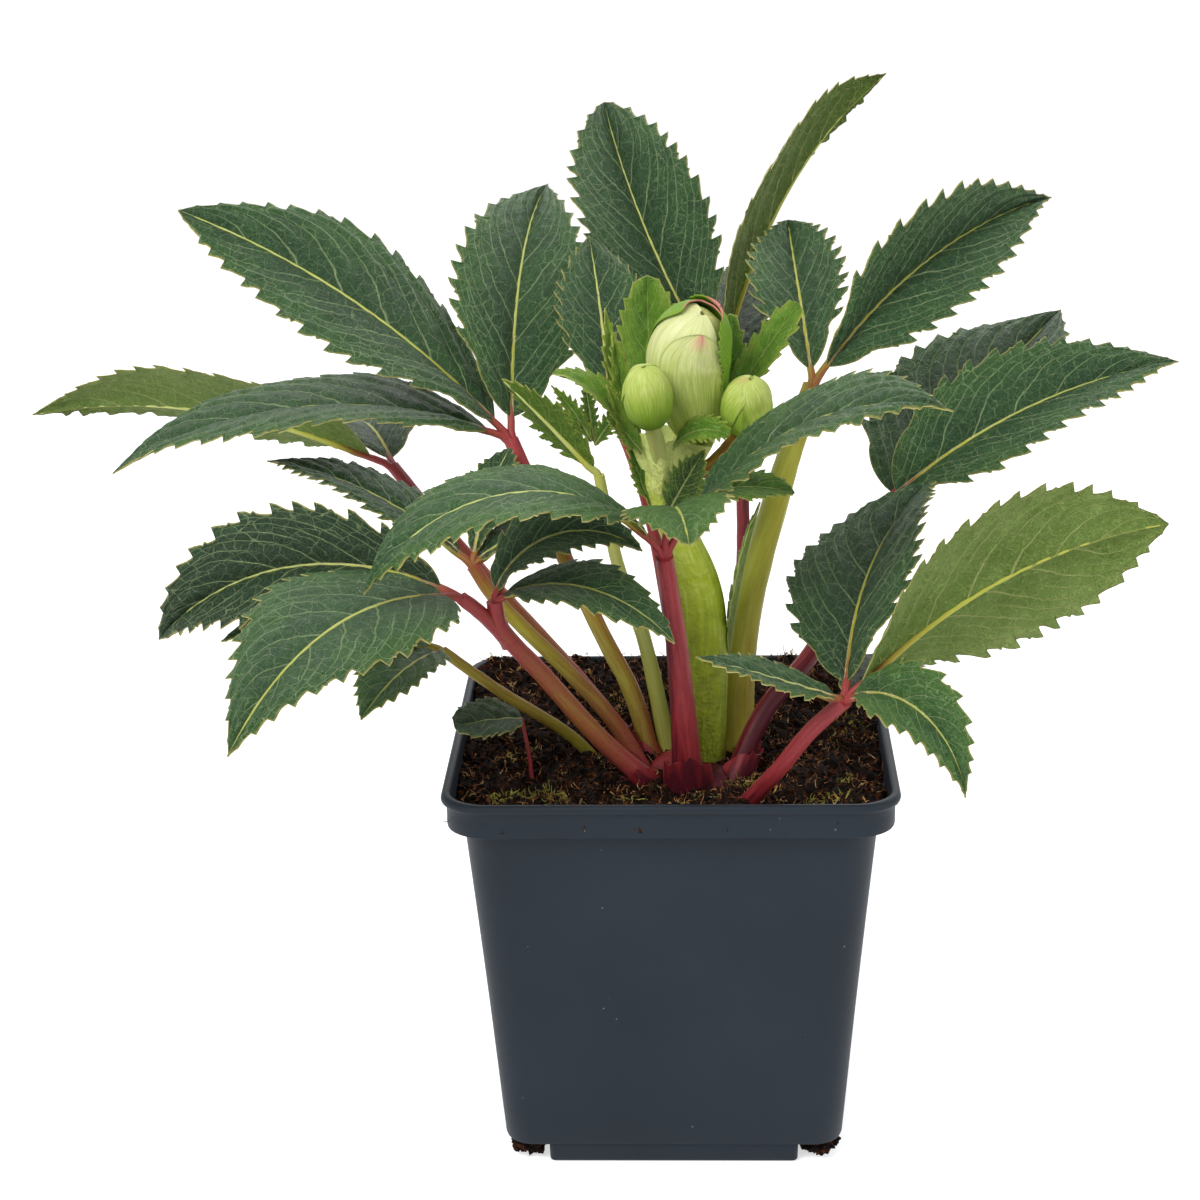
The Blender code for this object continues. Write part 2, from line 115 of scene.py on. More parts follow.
def mesh_object(name, points, faces, materials, sharp=40):
    """Smooth-shaded object from points in millimetres, creased past the sharp angle."""
    mesh = bpy.data.meshes.new(name)
    mesh.from_pydata([tuple(p) for p in np.asarray(points, float) * MM], [], faces)
    mesh.update()
    mesh.shade_smooth()
    mesh.set_sharp_from_angle(angle=math.radians(sharp))
    for made in materials:
        mesh.materials.append(made)
    return placed(name, mesh)


def seat(item, slot, *nodes):
    """Let a piece ride with the pot in place of the frame's nodes."""
    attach(item, "root")
    if nodes:
        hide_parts(*nodes)


def rounded_square(width, corner, height):
    """Ring of points round a square with rounded corners."""
    ring = []
    inner = width / 2 - corner
    for quarter, (sx, sy) in enumerate(CORNERS):
        for step in range(CORNER_STEPS + 1):
            angle = math.radians(90 * (quarter + step / CORNER_STEPS))
            ring.append((sx * inner + corner * math.cos(angle),
                         sy * inner + corner * math.sin(angle), height))
    return ring


def loft(rings):
    """Points and outward faces of a skin through rings, capped at both ends."""
    count = len(rings[0])
    points = [p for ring in rings for p in ring]
    faces = [(row * count + k, row * count + (k + 1) % count,
              (row + 1) * count + (k + 1) % count, (row + 1) * count + k)
             for row in range(len(rings) - 1) for k in range(count)]
    faces.append(tuple(range(count))[::-1])
    faces.append(tuple(range(len(points) - count, len(points))))
    return points, faces


def cut(item, tools, operation):
    """Join or cut an object with each tool in turn, and keep the result as its mesh."""
    for tool in tools:
        step = item.modifiers.new(tool.name, "BOOLEAN")
        step.operation = operation
        step.object = tool
    depsgraph = bpy.context.evaluated_depsgraph_get()
    mesh = bpy.data.meshes.new_from_object(item.evaluated_get(depsgraph))
    item.modifiers.clear()
    item.data = mesh
    for tool in tools:
        bpy.data.objects.remove(tool)


# Polypropylene with a light spark finish: satin, in two close greys, with dust on it in
# patches. The grain is 0.7 mm, and the dust specks are up to 1 mm across.
pot_plastic, tree = new_material("slate_polypropylene")
place = add(tree, "ShaderNodeTexCoord").outputs["Object"]
cloudy = add(tree, "ShaderNodeTexNoise", {"Vector": place, "Scale": 22, "Detail": 4})
tint = add(tree, "ShaderNodeValToRGB", {0: cloudy}, stops=[(0.3, "#1c242d"), (0.75, "#232c36")])
specks = add(tree, "ShaderNodeTexVoronoi", {"Vector": place, "Scale": 210, "Randomness": 1.0})
patchy = add(tree, "ShaderNodeTexNoise", {"Vector": place, "Scale": 60, "Detail": 2})
reach = add(tree, "ShaderNodeMapRange", {0: patchy, 1: 0.5, 2: 0.8, 3: 0.0, 4: 0.11})
dot = add(tree, "ShaderNodeMath", {0: specks, 1: reach}, operation="LESS_THAN")
dust = add(tree, "ShaderNodeMath", {0: dot, 1: 0.55}, operation="MULTIPLY")
dusty = add(tree, "ShaderNodeMix", {0: dust, 6: tint, 7: linear("#8d8f90")}, data_type="RGBA")
grain = add(tree, "ShaderNodeTexNoise", {"Vector": place, "Scale": 1400, "Detail": 2})
dull = add(tree, "ShaderNodeMapRange", {0: cloudy, 3: 0.44, 4: 0.56})
bump = add(tree, "ShaderNodeBump", {"Height": grain, "Strength": 0.25, "Distance": 0.00012})
shader = add(tree, "ShaderNodeBsdfPrincipled", {
    "Base Color": dusty, "Roughness": dull, "IOR": 1.49, "Specular IOR Level": 0.22,
    "Normal": bump})
add(tree, "ShaderNodeOutputMaterial", {0: shader})

body_rise = BAND_FOOT - PLATFORM_HEIGHT
pot_rings = [(BODY_FOOT - 2.0, FOOT_CORNER - 1.0, PLATFORM_HEIGHT),
             (BODY_FOOT - 0.6, FOOT_CORNER - 0.3, PLATFORM_HEIGHT + 0.3),
             (BODY_FOOT + 0.1, FOOT_CORNER, PLATFORM_HEIGHT + 1.2)]
for share in (0.1, 0.25, 0.4, 0.55, 0.7, 0.85, 0.98):
    width = BODY_FOOT + (BODY_TOP - BODY_FOOT) * share - 0.5 * math.sin(math.pi * share)
    pot_rings.append((width, FOOT_CORNER + 2 * share, PLATFORM_HEIGHT + body_rise * share))
pot_rings += [
    (BODY_TOP + 0.2, 11, BAND_FOOT - 0.9), (BODY_TOP + 0.9, 11.2, BAND_FOOT - 0.2),
    (BODY_TOP + 2.0, 11.5, BAND_FOOT), (POT_BAND - 1.2, RIM_CORNER, BAND_FOOT),
    (POT_BAND - 0.3, RIM_CORNER, BAND_FOOT + 0.3), (POT_BAND, RIM_CORNER, BAND_FOOT + 1.0),
    (POT_BAND, RIM_CORNER, BAND_FOOT + 4.5), (POT_BAND + 0.1, RIM_CORNER, POT_HEIGHT - 3.5),
    (POT_BAND + 0.5, RIM_CORNER, POT_HEIGHT - 3.0),
    (POT_BAND + 1.9, RIM_CORNER, POT_HEIGHT - 2.7),
    (POT_RIM - 0.3, RIM_CORNER, POT_HEIGHT - 2.1), (POT_RIM, RIM_CORNER, POT_HEIGHT - 1.4),
    (POT_RIM - 0.3, RIM_CORNER, POT_HEIGHT - 0.7),
    (POT_RIM - 1.2, RIM_CORNER, POT_HEIGHT - 0.15), (POT_RIM - 2.2, RIM_CORNER, POT_HEIGHT),
    (POT_BAND - 1.0, 11.8, POT_HEIGHT - 0.1), (POT_BAND - 2.0, 11.4, POT_HEIGHT - 0.6),
    (POT_BAND - 2.4, 11, POT_HEIGHT - 1.6), (POT_BAND - 3.0, 11, BAND_FOOT + WALL + 0.4),
    (BODY_TOP - 1.4, 10.4, BAND_FOOT + WALL), (BODY_TOP - 2.6, 10, BAND_FOOT),
    (BODY_FOOT - 2.4, FOOT_CORNER - 1, PLATFORM_HEIGHT + WALL)]
pot = mesh_object("pot_body", *loft([rounded_square(*ring) for ring in pot_rings]),
                  [pot_plastic], sharp=55)


def platform_outline(inset, height):
    """Ring round the platform: a square cut away at each corner, all edges eased."""
    reach = PLATFORM_WIDTH / 2 - inset
    shelf = PLATFORM_WIDTH / 2 - NOTCH - inset * 0.4
    ring = []
    for quarter in range(4):
        for hollow, (x, y) in ((0, (reach, shelf)), (1, (shelf, shelf)), (0, (shelf, reach))):
            for step in range(6):
                turn = math.pi / 2 * step / 5
                if hollow:
                    px = x + NOTCH_EASE * (1 - math.sin(turn))
                    py = y + NOTCH_EASE * (1 - math.cos(turn))
                else:
                    px = x - NOTCH_EASE * (1 - math.cos(turn))
                    py = y - NOTCH_EASE * (1 - math.sin(turn))
                spin = Matrix.Rotation(math.pi / 2 * quarter, 2) @ Vector((px, py))
                ring.append((spin.x, spin.y, height))
    return ring


platform_rings = [(1.2, 0.0), (0.35, 0.25), (0.0, 0.9), (-0.3, PLATFORM_HEIGHT + WALL / 2)]
platform = mesh_object("platform", *loft([platform_outline(*ring) for ring in platform_rings]),
                       [pot_plastic])
drain_place = PLATFORM_WIDTH / 2 - NOTCH / 2 - 1
drains = []
for sx, sy in CORNERS:
    ring = [(sx * drain_place + DRAIN_RADIUS * math.cos(a),
             sy * drain_place + DRAIN_RADIUS * math.sin(a))
            for a in (math.tau * k / DRAIN_SIDES for k in range(DRAIN_SIDES))]
    ends = [[(x, y, z) for x, y in ring] for z in DRAIN_CUT]
    drains.append(mesh_object("drain", *loft(ends), []))
cut(pot, [platform], "UNION")
cut(pot, drains, "DIFFERENCE")
pot.data.shade_smooth()
pot.data.set_sharp_from_angle(angle=math.radians(40))
seat(pot, "pot", "pot")


# ---------------------------------------------------------------- Compost
# Peat-based potting compost, drawn up round the plant and heaped to the rim behind it:
# black-brown crumbs with loose root fibre, and wisps of moss where it has stood damp.

SOIL_EDGE = 112.5
SOIL_MOUND = 3.0
SOIL_BACK = 7.5
HEAP_FROM = -10.0
HEAP_RUN = 70.0
MOUND_RADIUS = 38.0
CROWN_X = 6.0
CROWN_Y = -21.0
COMPOST_RINGS = 60
RING_POINTS = 132
MOSS_SIDES = 12
MOSS_SQUASH = 0.6
PLUG_PLACE = 43.0
PLUG_HEIGHT = 3.6
PLUG_RADII = (4.6, 2.3)
PLUG_RINGS = 9
PLUG_SIDES = 20


def soil_height(x, y):
    """Mean level of the compost, mounded round the crown."""
    away = math.hypot(x - CROWN_X, y - CROWN_Y)
    heap = SOIL_BACK * min(max((y - HEAP_FROM) / HEAP_RUN, 0), 1)
    return SOIL_EDGE + heap + SOIL_MOUND * math.exp(-(away / MOUND_RADIUS) ** 2)


def lumpy(x, y):
    """Height of the clods at a place, in millimetres."""
    coarse = noise.noise(Vector((x / 13, y / 13, 2.7)))
    middle = noise.noise(Vector((x / 5.5, y / 5.5, 9.1)))
    fine = noise.noise(Vector((x / 2.2, y / 2.2, 4.4)))
    return 2.8 * coarse + 2.6 * middle + 1.3 * fine


# Damp peat: very dark, matt, broken by brown flecks up to 2.4 mm across.
peat, tree = new_material("damp_peat")
place = add(tree, "ShaderNodeTexCoord").outputs["Object"]
fleck = add(tree, "ShaderNodeTexNoise", {
    "Vector": place, "Scale": 420, "Detail": 5, "Roughness": 0.7})
tint = add(tree, "ShaderNodeValToRGB", {0: fleck}, stops=[
    (0.43, "#060302"), (0.53, "#1c0e07"), (0.62, "#4c2812"), (0.73, "#875228")])
bump = add(tree, "ShaderNodeBump", {"Height": fleck, "Strength": 0.8, "Distance": 0.0008})
shader = add(tree, "ShaderNodeBsdfPrincipled", {
    "Base Color": tint, "Roughness": 0.9, "Specular IOR Level": 0.15, "Normal": bump})
add(tree, "ShaderNodeOutputMaterial", {0: shader})


def dry_finish(name, scale, colours, roughness):
    """Matt plant tissue whose colour drifts from one patch to the next."""
    made, tree = new_material(name)
    place = add(tree, "ShaderNodeTexCoord").outputs["Object"]
    change = add(tree, "ShaderNodeTexNoise", {"Vector": place, "Scale": scale, "Detail": 2})
    tint = add(tree, "ShaderNodeValToRGB", {0: change}, stops=colours)
    shader = add(tree, "ShaderNodeBsdfPrincipled", {"Base Color": tint, "Roughness": roughness})
    add(tree, "ShaderNodeOutputMaterial", {0: shader})
    return made


# Root fibre and coir: dry tan strands, shading to dark brown from one to the next.
fibre = dry_finish("root_fibre", 240, [
    (0.4, "#150a05"), (0.49, "#5a3018"), (0.57, "#a86c36"), (0.67, "#e6bd80")], roughness=0.75)
# Moss: soft, dull yellow-green filaments.
moss = dry_finish("moss", 190, [
    (0.32, "#45421a"), (0.5, "#8a8832"), (0.68, "#cfc65c")], roughness=0.85)


def run_length(line):
    """Distance along a line to each of its points."""
    return np.concatenate([[0], np.cumsum(np.linalg.norm(np.diff(line, axis=0), axis=1))])


def read_off(wanted, at, points):
    """Points of a line at the wanted places, given the places of its own points."""
    return np.stack([np.interp(wanted, at, points[:, k]) for k in range(3)], axis=1)


def evened(ring, count):
    """The same ring with its points spread evenly along it."""
    loop = np.array([*ring, ring[0]], float)
    run = run_length(loop)
    return read_off(np.linspace(0, run[-1], count, endpoint=False), run, loop)


rim_inside = POT_BAND - 3.6
compost_rings = [evened(rounded_square(*ring), RING_POINTS) for ring in (
    (BODY_FOOT - 3, FOOT_CORNER - 1, PLATFORM_HEIGHT + WALL + 0.3),
    (BODY_TOP - 3.4, 10, BAND_FOOT - 0.4), (rim_inside, 11, BAND_FOOT + WALL + 0.6))]
for k in range(COMPOST_RINGS):
    share = 1 - (k + 0.2) / COMPOST_RINGS
    ring = evened(rounded_square(rim_inside * share, 11 * share, 0), RING_POINTS)
    ring[:, 2] = [soil_height(x, y) + lumpy(x, y) for x, y, _ in ring]
    compost_rings.append(ring)
compost = mesh_object("compost_block", *loft(compost_rings), [peat], sharp=180)


def geometry_tree(name, sockets):
    """Geometry tree with a mesh in, a mesh out and the named inputs."""
    tree = bpy.data.node_groups.new(name, "GeometryNodeTree")
    tree.interface.new_socket("Geometry", in_out="OUTPUT", socket_type="NodeSocketGeometry")
    for label, kind in {"Geometry": "Geometry", **sockets}.items():
        tree.interface.new_socket(label, in_out="INPUT", socket_type="NodeSocket" + kind)
    return tree, tree.nodes.new("NodeGroupInput").outputs


def grown(name, carrier, tree, values):
    """Object from what a geometry tree makes of a carrier, whose own mesh stays as it was."""
    step = carrier.modifiers.new("growth", "NODES")
    step.node_group = tree
    sockets = {item.name: item.identifier for item in tree.interface.items_tree
               if item.item_type == "SOCKET" and item.in_out == "INPUT"}
    for key, value in values.items():
        step[sockets[key]] = value
    depsgraph = bpy.context.evaluated_depsgraph_get()
    mesh = bpy.data.meshes.new_from_object(
        carrier.evaluated_get(depsgraph), preserve_all_data_layers=True, depsgraph=depsgraph)
    carrier.modifiers.remove(step)
    mesh.name = name
    return placed(name, mesh)


# Crumbs: squashed pellets scattered over the upper faces, roughened once they are real.
crumbs, given = geometry_tree("crumb_litter", {
    "Density": "Float", "Size": "Float", "Above": "Float", "Seed": "Int", "Material": "Material"})
where = add(crumbs, "GeometryNodeInputPosition")
height = add(crumbs, "ShaderNodeSeparateXYZ", {0: where}).outputs["Z"]
upper = add(crumbs, "FunctionNodeCompare", {0: height, 1: given["Above"]},
            operation="GREATER_THAN")
scatter = add(crumbs, "GeometryNodeDistributePointsOnFaces", {
    "Mesh": given["Geometry"], "Selection": upper, "Density": given["Density"],
    "Seed": given["Seed"]})
turn = add(crumbs, "FunctionNodeRandomValue", {0: (0, 0, 0), 1: (6.28, 6.28, 6.28), "Seed": 3},
           data_type="FLOAT_VECTOR")
squash = add(crumbs, "FunctionNodeRandomValue", {
    0: (0.4, 0.5, 0.5), 1: (1.2, 1.5, 1.4), "Seed": 5}, data_type="FLOAT_VECTOR")
pick = add(crumbs, "FunctionNodeRandomValue", {2: 0.0, 3: 1.0, "Seed": 8}, data_type="FLOAT")
rare = add(crumbs, "ShaderNodeMath", {0: pick, 1: 4.0}, operation="POWER")
wide = add(crumbs, "ShaderNodeMapRange", {0: rare, 3: 0.45, 4: 1.5})
size = add(crumbs, "ShaderNodeMath", {0: wide, 1: given["Size"]}, operation="MULTIPLY")
scale = add(crumbs, "ShaderNodeVectorMath", {0: squash, "Scale": size}, operation="SCALE")
pellet = add(crumbs, "GeometryNodeMeshUVSphere", {"Segments": 7, "Rings": 5, "Radius": 1.0})
laid = add(crumbs, "GeometryNodeInstanceOnPoints", {
    "Points": scatter, "Instance": pellet, "Rotation": turn, "Scale": scale})
real = add(crumbs, "GeometryNodeRealizeInstances", {0: laid})
rough = add(crumbs, "ShaderNodeTexNoise", {"Vector": where, "Scale": 700, "Detail": 2})
centred = add(crumbs, "ShaderNodeVectorMath", {0: rough.outputs["Color"], 1: (0.5, 0.5, 0.5)},
              operation="SUBTRACT")
push = add(crumbs, "ShaderNodeVectorMath", {0: centred, "Scale": 0.0022}, operation="SCALE")
moved = add(crumbs, "GeometryNodeSetPosition", {"Geometry": real, "Offset": push})
painted = add(crumbs, "GeometryNodeSetMaterial", {
    "Geometry": moved, "Material": given["Material"]})
add(crumbs, "NodeGroupOutput", {0: painted})

# Threads: short strands that start on the upper faces and wander as they go.
threads, given = geometry_tree("thread_litter", {
    "Density": "Float", "Length": "Float", "Girth": "Float", "Lean": "Float", "Wander": "Float",
    "Patches": "Float", "Above": "Float", "Seed": "Int", "Material": "Material"})
where = add(threads, "GeometryNodeInputPosition")
height = add(threads, "ShaderNodeSeparateXYZ", {0: where}).outputs["Z"]
upper = add(threads, "FunctionNodeCompare", {0: height, 1: given["Above"]},
            operation="GREATER_THAN")
clump = add(threads, "ShaderNodeTexNoise", {"Vector": where, "Scale": 45, "Detail": 1})
thick = add(threads, "ShaderNodeMapRange", {
    0: clump, 1: given["Patches"], 2: 0.72, 3: 0.0, 4: 1.0})
amount = add(threads, "ShaderNodeMath", {0: thick, 1: given["Density"]}, operation="MULTIPLY")
scatter = add(threads, "GeometryNodeDistributePointsOnFaces", {
    "Mesh": given["Geometry"], "Selection": upper, "Density": amount, "Seed": given["Seed"]})
line = add(threads, "GeometryNodeCurvePrimitiveLine", {0: (0, 0, 0), 1: (0, 0, 1)})
jointed = add(threads, "GeometryNodeResampleCurve", {"Curve": line, "Count": 7})
tilt = add(threads, "ShaderNodeMath", {0: given["Lean"], 1: -1.0}, operation="MULTIPLY")
low = add(threads, "ShaderNodeCombineXYZ", {0: tilt, 1: tilt, 2: 0.0})
high = add(threads, "ShaderNodeCombineXYZ", {0: given["Lean"], 1: given["Lean"], 2: 6.28})
turn = add(threads, "FunctionNodeRandomValue", {0: low, 1: high, "Seed": 3},
           data_type="FLOAT_VECTOR")
share = add(threads, "FunctionNodeRandomValue", {2: 0.35, 3: 1.3, "Seed": 4}, data_type="FLOAT")
long = add(threads, "ShaderNodeMath", {0: share, 1: given["Length"]}, operation="MULTIPLY")
laid = add(threads, "GeometryNodeInstanceOnPoints", {
    "Points": scatter, "Instance": jointed, "Rotation": turn, "Scale": long})
real = add(threads, "GeometryNodeRealizeInstances", {0: laid})
swirl = add(threads, "ShaderNodeTexNoise", {"Vector": where, "Scale": 330, "Detail": 1})
centred = add(threads, "ShaderNodeVectorMath", {0: swirl.outputs["Color"], 1: (0.5, 0.5, 0.5)},
              operation="SUBTRACT")
push = add(threads, "ShaderNodeVectorMath", {0: centred, "Scale": given["Wander"]},
           operation="SCALE")
bent = add(threads, "GeometryNodeSetPosition", {"Geometry": real, "Offset": push})
section = add(threads, "GeometryNodeCurvePrimitiveCircle", {"Resolution": 3, "Radius": 1.0})
along = add(threads, "GeometryNodeSplineParameter")
taper = add(threads, "ShaderNodeMapRange", {0: along, 3: 1.0, 4: 0.35})
girth = add(threads, "ShaderNodeMath", {0: taper, 1: given["Girth"]}, operation="MULTIPLY")
solid = add(threads, "GeometryNodeCurveToMesh", {
    "Curve": bent, "Profile Curve": section, "Scale": girth, "Fill Caps": True})
painted = add(threads, "GeometryNodeSetMaterial", {
    "Geometry": solid, "Material": given["Material"]})
add(threads, "NodeGroupOutput", {0: painted})

litter_foot = (BAND_FOOT + WALL) * MM
crumb_litter = grown("compost_crumbs", compost, crumbs, {
    "Density": 170000.0, "Size": 0.0014, "Above": litter_foot, "Seed": 4, "Material": peat})
pale_litter = grown("root_fibres", compost, threads, {
    "Density": 360000.0, "Length": 0.003, "Girth": 0.00021, "Lean": 1.4, "Wander": 0.005,
    "Patches": 0.2, "Above": litter_foot, "Seed": 7, "Material": fibre})
dark_litter = grown("peat_fibres", compost, threads, {
    "Density": 200000.0, "Length": 0.0032, "Girth": 0.00022, "Lean": 1.5, "Wander": 0.004,
    "Patches": 0.1, "Above": litter_foot, "Seed": 17, "Material": peat})
moss_litter = grown("moss_wisps", compost, threads, {
    "Density": 400000.0, "Length": 0.0024, "Girth": 0.00015, "Lean": 1.2, "Wander": 0.0045,
    "Patches": 0.58, "Above": litter_foot, "Seed": 11, "Material": moss})
seat(compost, "compost", "compost")
for litter in (crumb_litter, pale_litter, dark_litter, moss_litter):
    seat(litter, "compost")

# Moss cushions: where it has taken hold, each with its place and its radius.
MOSS_BEDS = [(-46, -46, 6), (-36, -42, 7), (-12, -45, 4), (4, -49, 5), (10, -45, 4),
             (-2, -54, 4), (45, -44, 7), (52, -30, 5), (36, -52, 4)]
bed_points, bed_faces = [], []
for x, y, radius in MOSS_BEDS:
    first = len(bed_points)
    bed_points.append((x, y, soil_height(x, y) + lumpy(x, y) + 0.5))
    for k in range(MOSS_SIDES):
        px = x + radius * math.cos(math.tau * k / MOSS_SIDES)
        py = y + MOSS_SQUASH * radius * math.sin(math.tau * k / MOSS_SIDES)
        bed_points.append((px, py, soil_height(px, py) + lumpy(px, py)))
        bed_faces.append((first, first + 1 + k, first + 1 + (k + 1) % MOSS_SIDES))
bed = mesh_object("moss_bed", bed_points, bed_faces, [moss])
cushions = grown("moss_cushions", bed, threads, {
    "Density": 2000000.0, "Length": 0.0022, "Girth": 0.00022, "Lean": 1.5, "Wander": 0.005,
    "Patches": 0.4, "Above": 0.0, "Seed": 23, "Material": moss})
bpy.data.objects.remove(bed)
seat(cushions, "compost")


def ray_at(dip, turn):
    """Unit direction: dip is its angle up from straight down, turn its angle from +X."""
    return Vector((math.sin(dip) * math.cos(turn), math.sin(dip) * math.sin(turn),
                   -math.cos(dip)))


# Plugs: a little compost has worked out through the drain holes and hangs in each notch.
for k, (sx, sy) in enumerate(CORNERS):
    rings = []
    for row in range(PLUG_RINGS):
        dip = math.pi * (0.06 + 0.88 * row / (PLUG_RINGS - 1))
        rings.append([])
        for side in range(PLUG_SIDES):
            ray = ray_at(dip, math.tau * side / PLUG_SIDES)
            swell = 1 + 0.5 * noise.noise(ray * 2.5 + Vector((sx, sy, 0)))
            rings[-1].append((sx * PLUG_PLACE + PLUG_RADII[0] * ray.x * swell,
                              sy * PLUG_PLACE + PLUG_RADII[0] * ray.y * swell,
                              PLUG_HEIGHT + PLUG_RADII[1] * ray.z * swell))
    plug = mesh_object(f"drain_plug_{k + 1}", *loft(rings), [peat], sharp=180)
    spill = grown(f"drain_crumbs_{k + 1}", plug, crumbs, {
        "Density": 900000.0, "Size": 0.0009, "Above": 0.001, "Seed": 31 + k, "Material": peat})
    seat(plug, "compost")
    seat(spill, "compost")


# ---------------------------------------------------------------- Stalks
# Leaf stalks spring from one crown at the level of the compost and fork at a hub into a
# short stub for each blade. They are fleshy and faintly ribbed, with a skin that runs
# from wine red to olive. Each stub carries on as the midrib that stiffens its blade.

# A stalk's radius at its foot and its top, its route, and how red it is along the way.
Stalk = namedtuple("Stalk", "foot top route blush")
STALKS = {
    "tall_left": Stalk(3.0, 2.3, [(-5, -16, 112), (-11, -8, 132), (-21, 3, 149), (-37, 20, 178),
                                  (-48, 30, 201)], (0.62, 0.45, 0.55, 0.85)),
    "far_left": Stalk(2.6, 2.0, [(-8, -9, 112), (-28, 6, 133), (-53, 30, 153), (-72, 48, 169),
                                 (-88, 66, 183)], (0.7, 0.6, 0.75, 0.9)),
    "low_left": Stalk(3.2, 2.3, [(-4, -29, 111), (-20, -33, 128), (-36, -37, 149), (-47, -41, 164),
                                 (-49, -42, 173)], (0.95, 0.62, 0.8, 0.85)),
    "mid_left": Stalk(2.8, 1.9, [(-7, -23, 112), (-17, -20, 129), (-30, -14, 142), (-50, -8, 161),
                                 (-58, -5, 172)], (0.85, 0.6, 0.45, 0.7)),
    "front": Stalk(5.2, 2.5, [(5, -32, 110), (4, -36, 133), (2, -41, 160), (-1, -50, 188)],
                   (0.97, 0.88, 0.9, 0.85)),
    "upper_right": Stalk(5.8, 2.8, [(18, -10, 110), (22, -6, 155), (32, 0, 193), (37, 5, 208),
                                    (42, 10, 222)], (0.31, 0.17, 0.15, 0.48)),
    "right": Stalk(3.2, 2.4, [(17, -28, 110), (27, -22, 132), (41, -14, 147), (53, -4, 166),
                              (62, 5, 186)], (0.97, 0.92, 0.85, 0.9)),
    "low_right": Stalk(2.6, 2.2, [(18, -43, 108), (30, -54, 126), (39, -62, 141), (48, -70, 153)],
                       (0.9, 0.78, 0.72, 0.7)),
    "low_back_left": Stalk(2.0, 1.6, [(-18, -8, 106), (-30, -11, 121), (-49, -16, 136),
                                      (-66, -21, 151)], (0.3, 0.46, 0.52, 0.5)),
    "back": Stalk(2.4, 1.9, [(14, 0, 108), (20, 10, 145), (22, 28, 167), (21, 46, 190),
                             (15, 66, 212)], (0.9, 0.92, 0.85, 0.8)),
    "rear_left": Stalk(2.3, 1.8, [(6, -4, 110), (0, 5, 150), (-7, 18, 185), (-18, 28, 214)],
                       (0.9, 0.92, 0.9, 0.8)),
    "young": Stalk(2.8, 1.6, [(0, -11, 111), (-7, -13, 149), (-15, -14, 175), (-20, -15, 202)],
                   (0.2, 0.16, 0.16, 0.2)),
}
FORK = Stalk(2.2, 2.0, [(-45, -40, 160), (-52, -43, 169), (-58, -45, 175)], (0.8, 0.85, 0.85))

# A blade's line: heading round from +X, slope at the stalk, and how far the slope and
# the heading turn by the tip. roll and twist tip it sideways, fold lifts both halves.
# widest and full shape the outline, and bare is the stretch that is only midrib, in
# 48ths of the length.
BARE_PARTS = 48
Blade = namedtuple(
    "Blade", "heading rise droop sweep length width roll twist fold widest full bare",
    defaults=(0, 0, 10, 0.42, 0.75, 3))
LEAFLETS = {
    "tall_left": [
        Blade(175, 50, 30, 0, 122, 54, 8, 36, 5, 0.45, 0.8),
        Blade(90, 66, 58, -10, 110, 47, -22, 18, 20, 0.38),
        Blade(189, 27, 59, -2, 125, 51, 6, -2, 4, 0.44)],
    "far_left": [
        Blade(168, 23, 38, -9, 131, 50, -44, 10, 8, 0.4),
        Blade(110, 25, 60, 0, 70, 32, 5, 0, 15)],
    "low_left": [
        Blade(-26, 35, 80, 2, 61, 25, -14, -4, 5),
        Blade(0, 78, 118, 0, 53, 22, -35, -9, 20)],
    "low_left_fork": [
        Blade(232, 21, 56, 16, 109, 51, 13, -5, 2, 0.36, 0.66),
        Blade(166, 25, 74, -2, 103, 40, 66, 3, 30, 0.45, 0.78)],
    "mid_left": [
        Blade(160, 41, 41, -4, 74, 31, -1, 0, 6, 0.45, 0.9),
        Blade(20, 40, 50, 0, 42, 20, -10, 0, 10),
        Blade(70, 66, 45, 0, 42, 18, 0, 0, 10, 0.5, 0.9, 4)],
    "front": [
        Blade(205, 58, 118, -12, 102, 44, 6, 0, 0, 0.45, 0.88, 4),
        Blade(-80, 78, 114, 0, 51, 31, -8, 0, 5, 0.5, 0.9, 12),
        Blade(-10, 63, 65, -40, 109, 42, -24, 8, 5, 0.42, 1.0, 8)],
    "upper_right": [
        Blade(100, 54, 50, -10, 78, 33, 12, -4, 22, 0.42, 0.85),
        Blade(42, 42, 39, 0, 113, 42, -67, 10, 36, 0.42, 0.82)],
    "right": [
        Blade(52, 26, 8, 2, 110, 58, -5, 0, 15, 0.4, 0.7),
        Blade(18, 39, 36, 0, 103, 43, -38, 14, 22, 0.4, 0.67)],
    "low_right": [
        Blade(84, 50, 38, -34, 86, 46, 24, -8, 18, 0.42, 0.83),
        Blade(19, 44, 39, -7, 104, 50, 45, 60, 0, 0.47, 0.85),
        Blade(-42, 36, 115, -5, 54, 25, -30, 0, 22, 0.38, 0.78),
        Blade(196, 24, 4, 4, 46, 19, 16, -6, 5),
        Blade(64, 6, 20, 0, 52, 24, 0, 0, 10)],
    "low_back_left": [
        Blade(244, 12, 40, 0, 46, 26, 0, 0, 10),
        Blade(186, 30, 50, 0, 66, 30, 20, 0, 15)],
    "back": [
        Blade(123, 38, 0, -19, 119, 49, 22, -3, 29, 0.48),
        Blade(47, 73, 50, -3, 119, 50, 51, 7, 10, 0.42, 0.78),
        Blade(80, 22, 10, 0, 78, 34, 0, 0, 15)],
    "rear_left": [
        Blade(100, 62, 30, 0, 58, 30, 0, 0, 12)],
    "young": [
        Blade(168, 46, 4, 0, 39, 18, -60, 0, 8, 0.42, 0.72)],
}


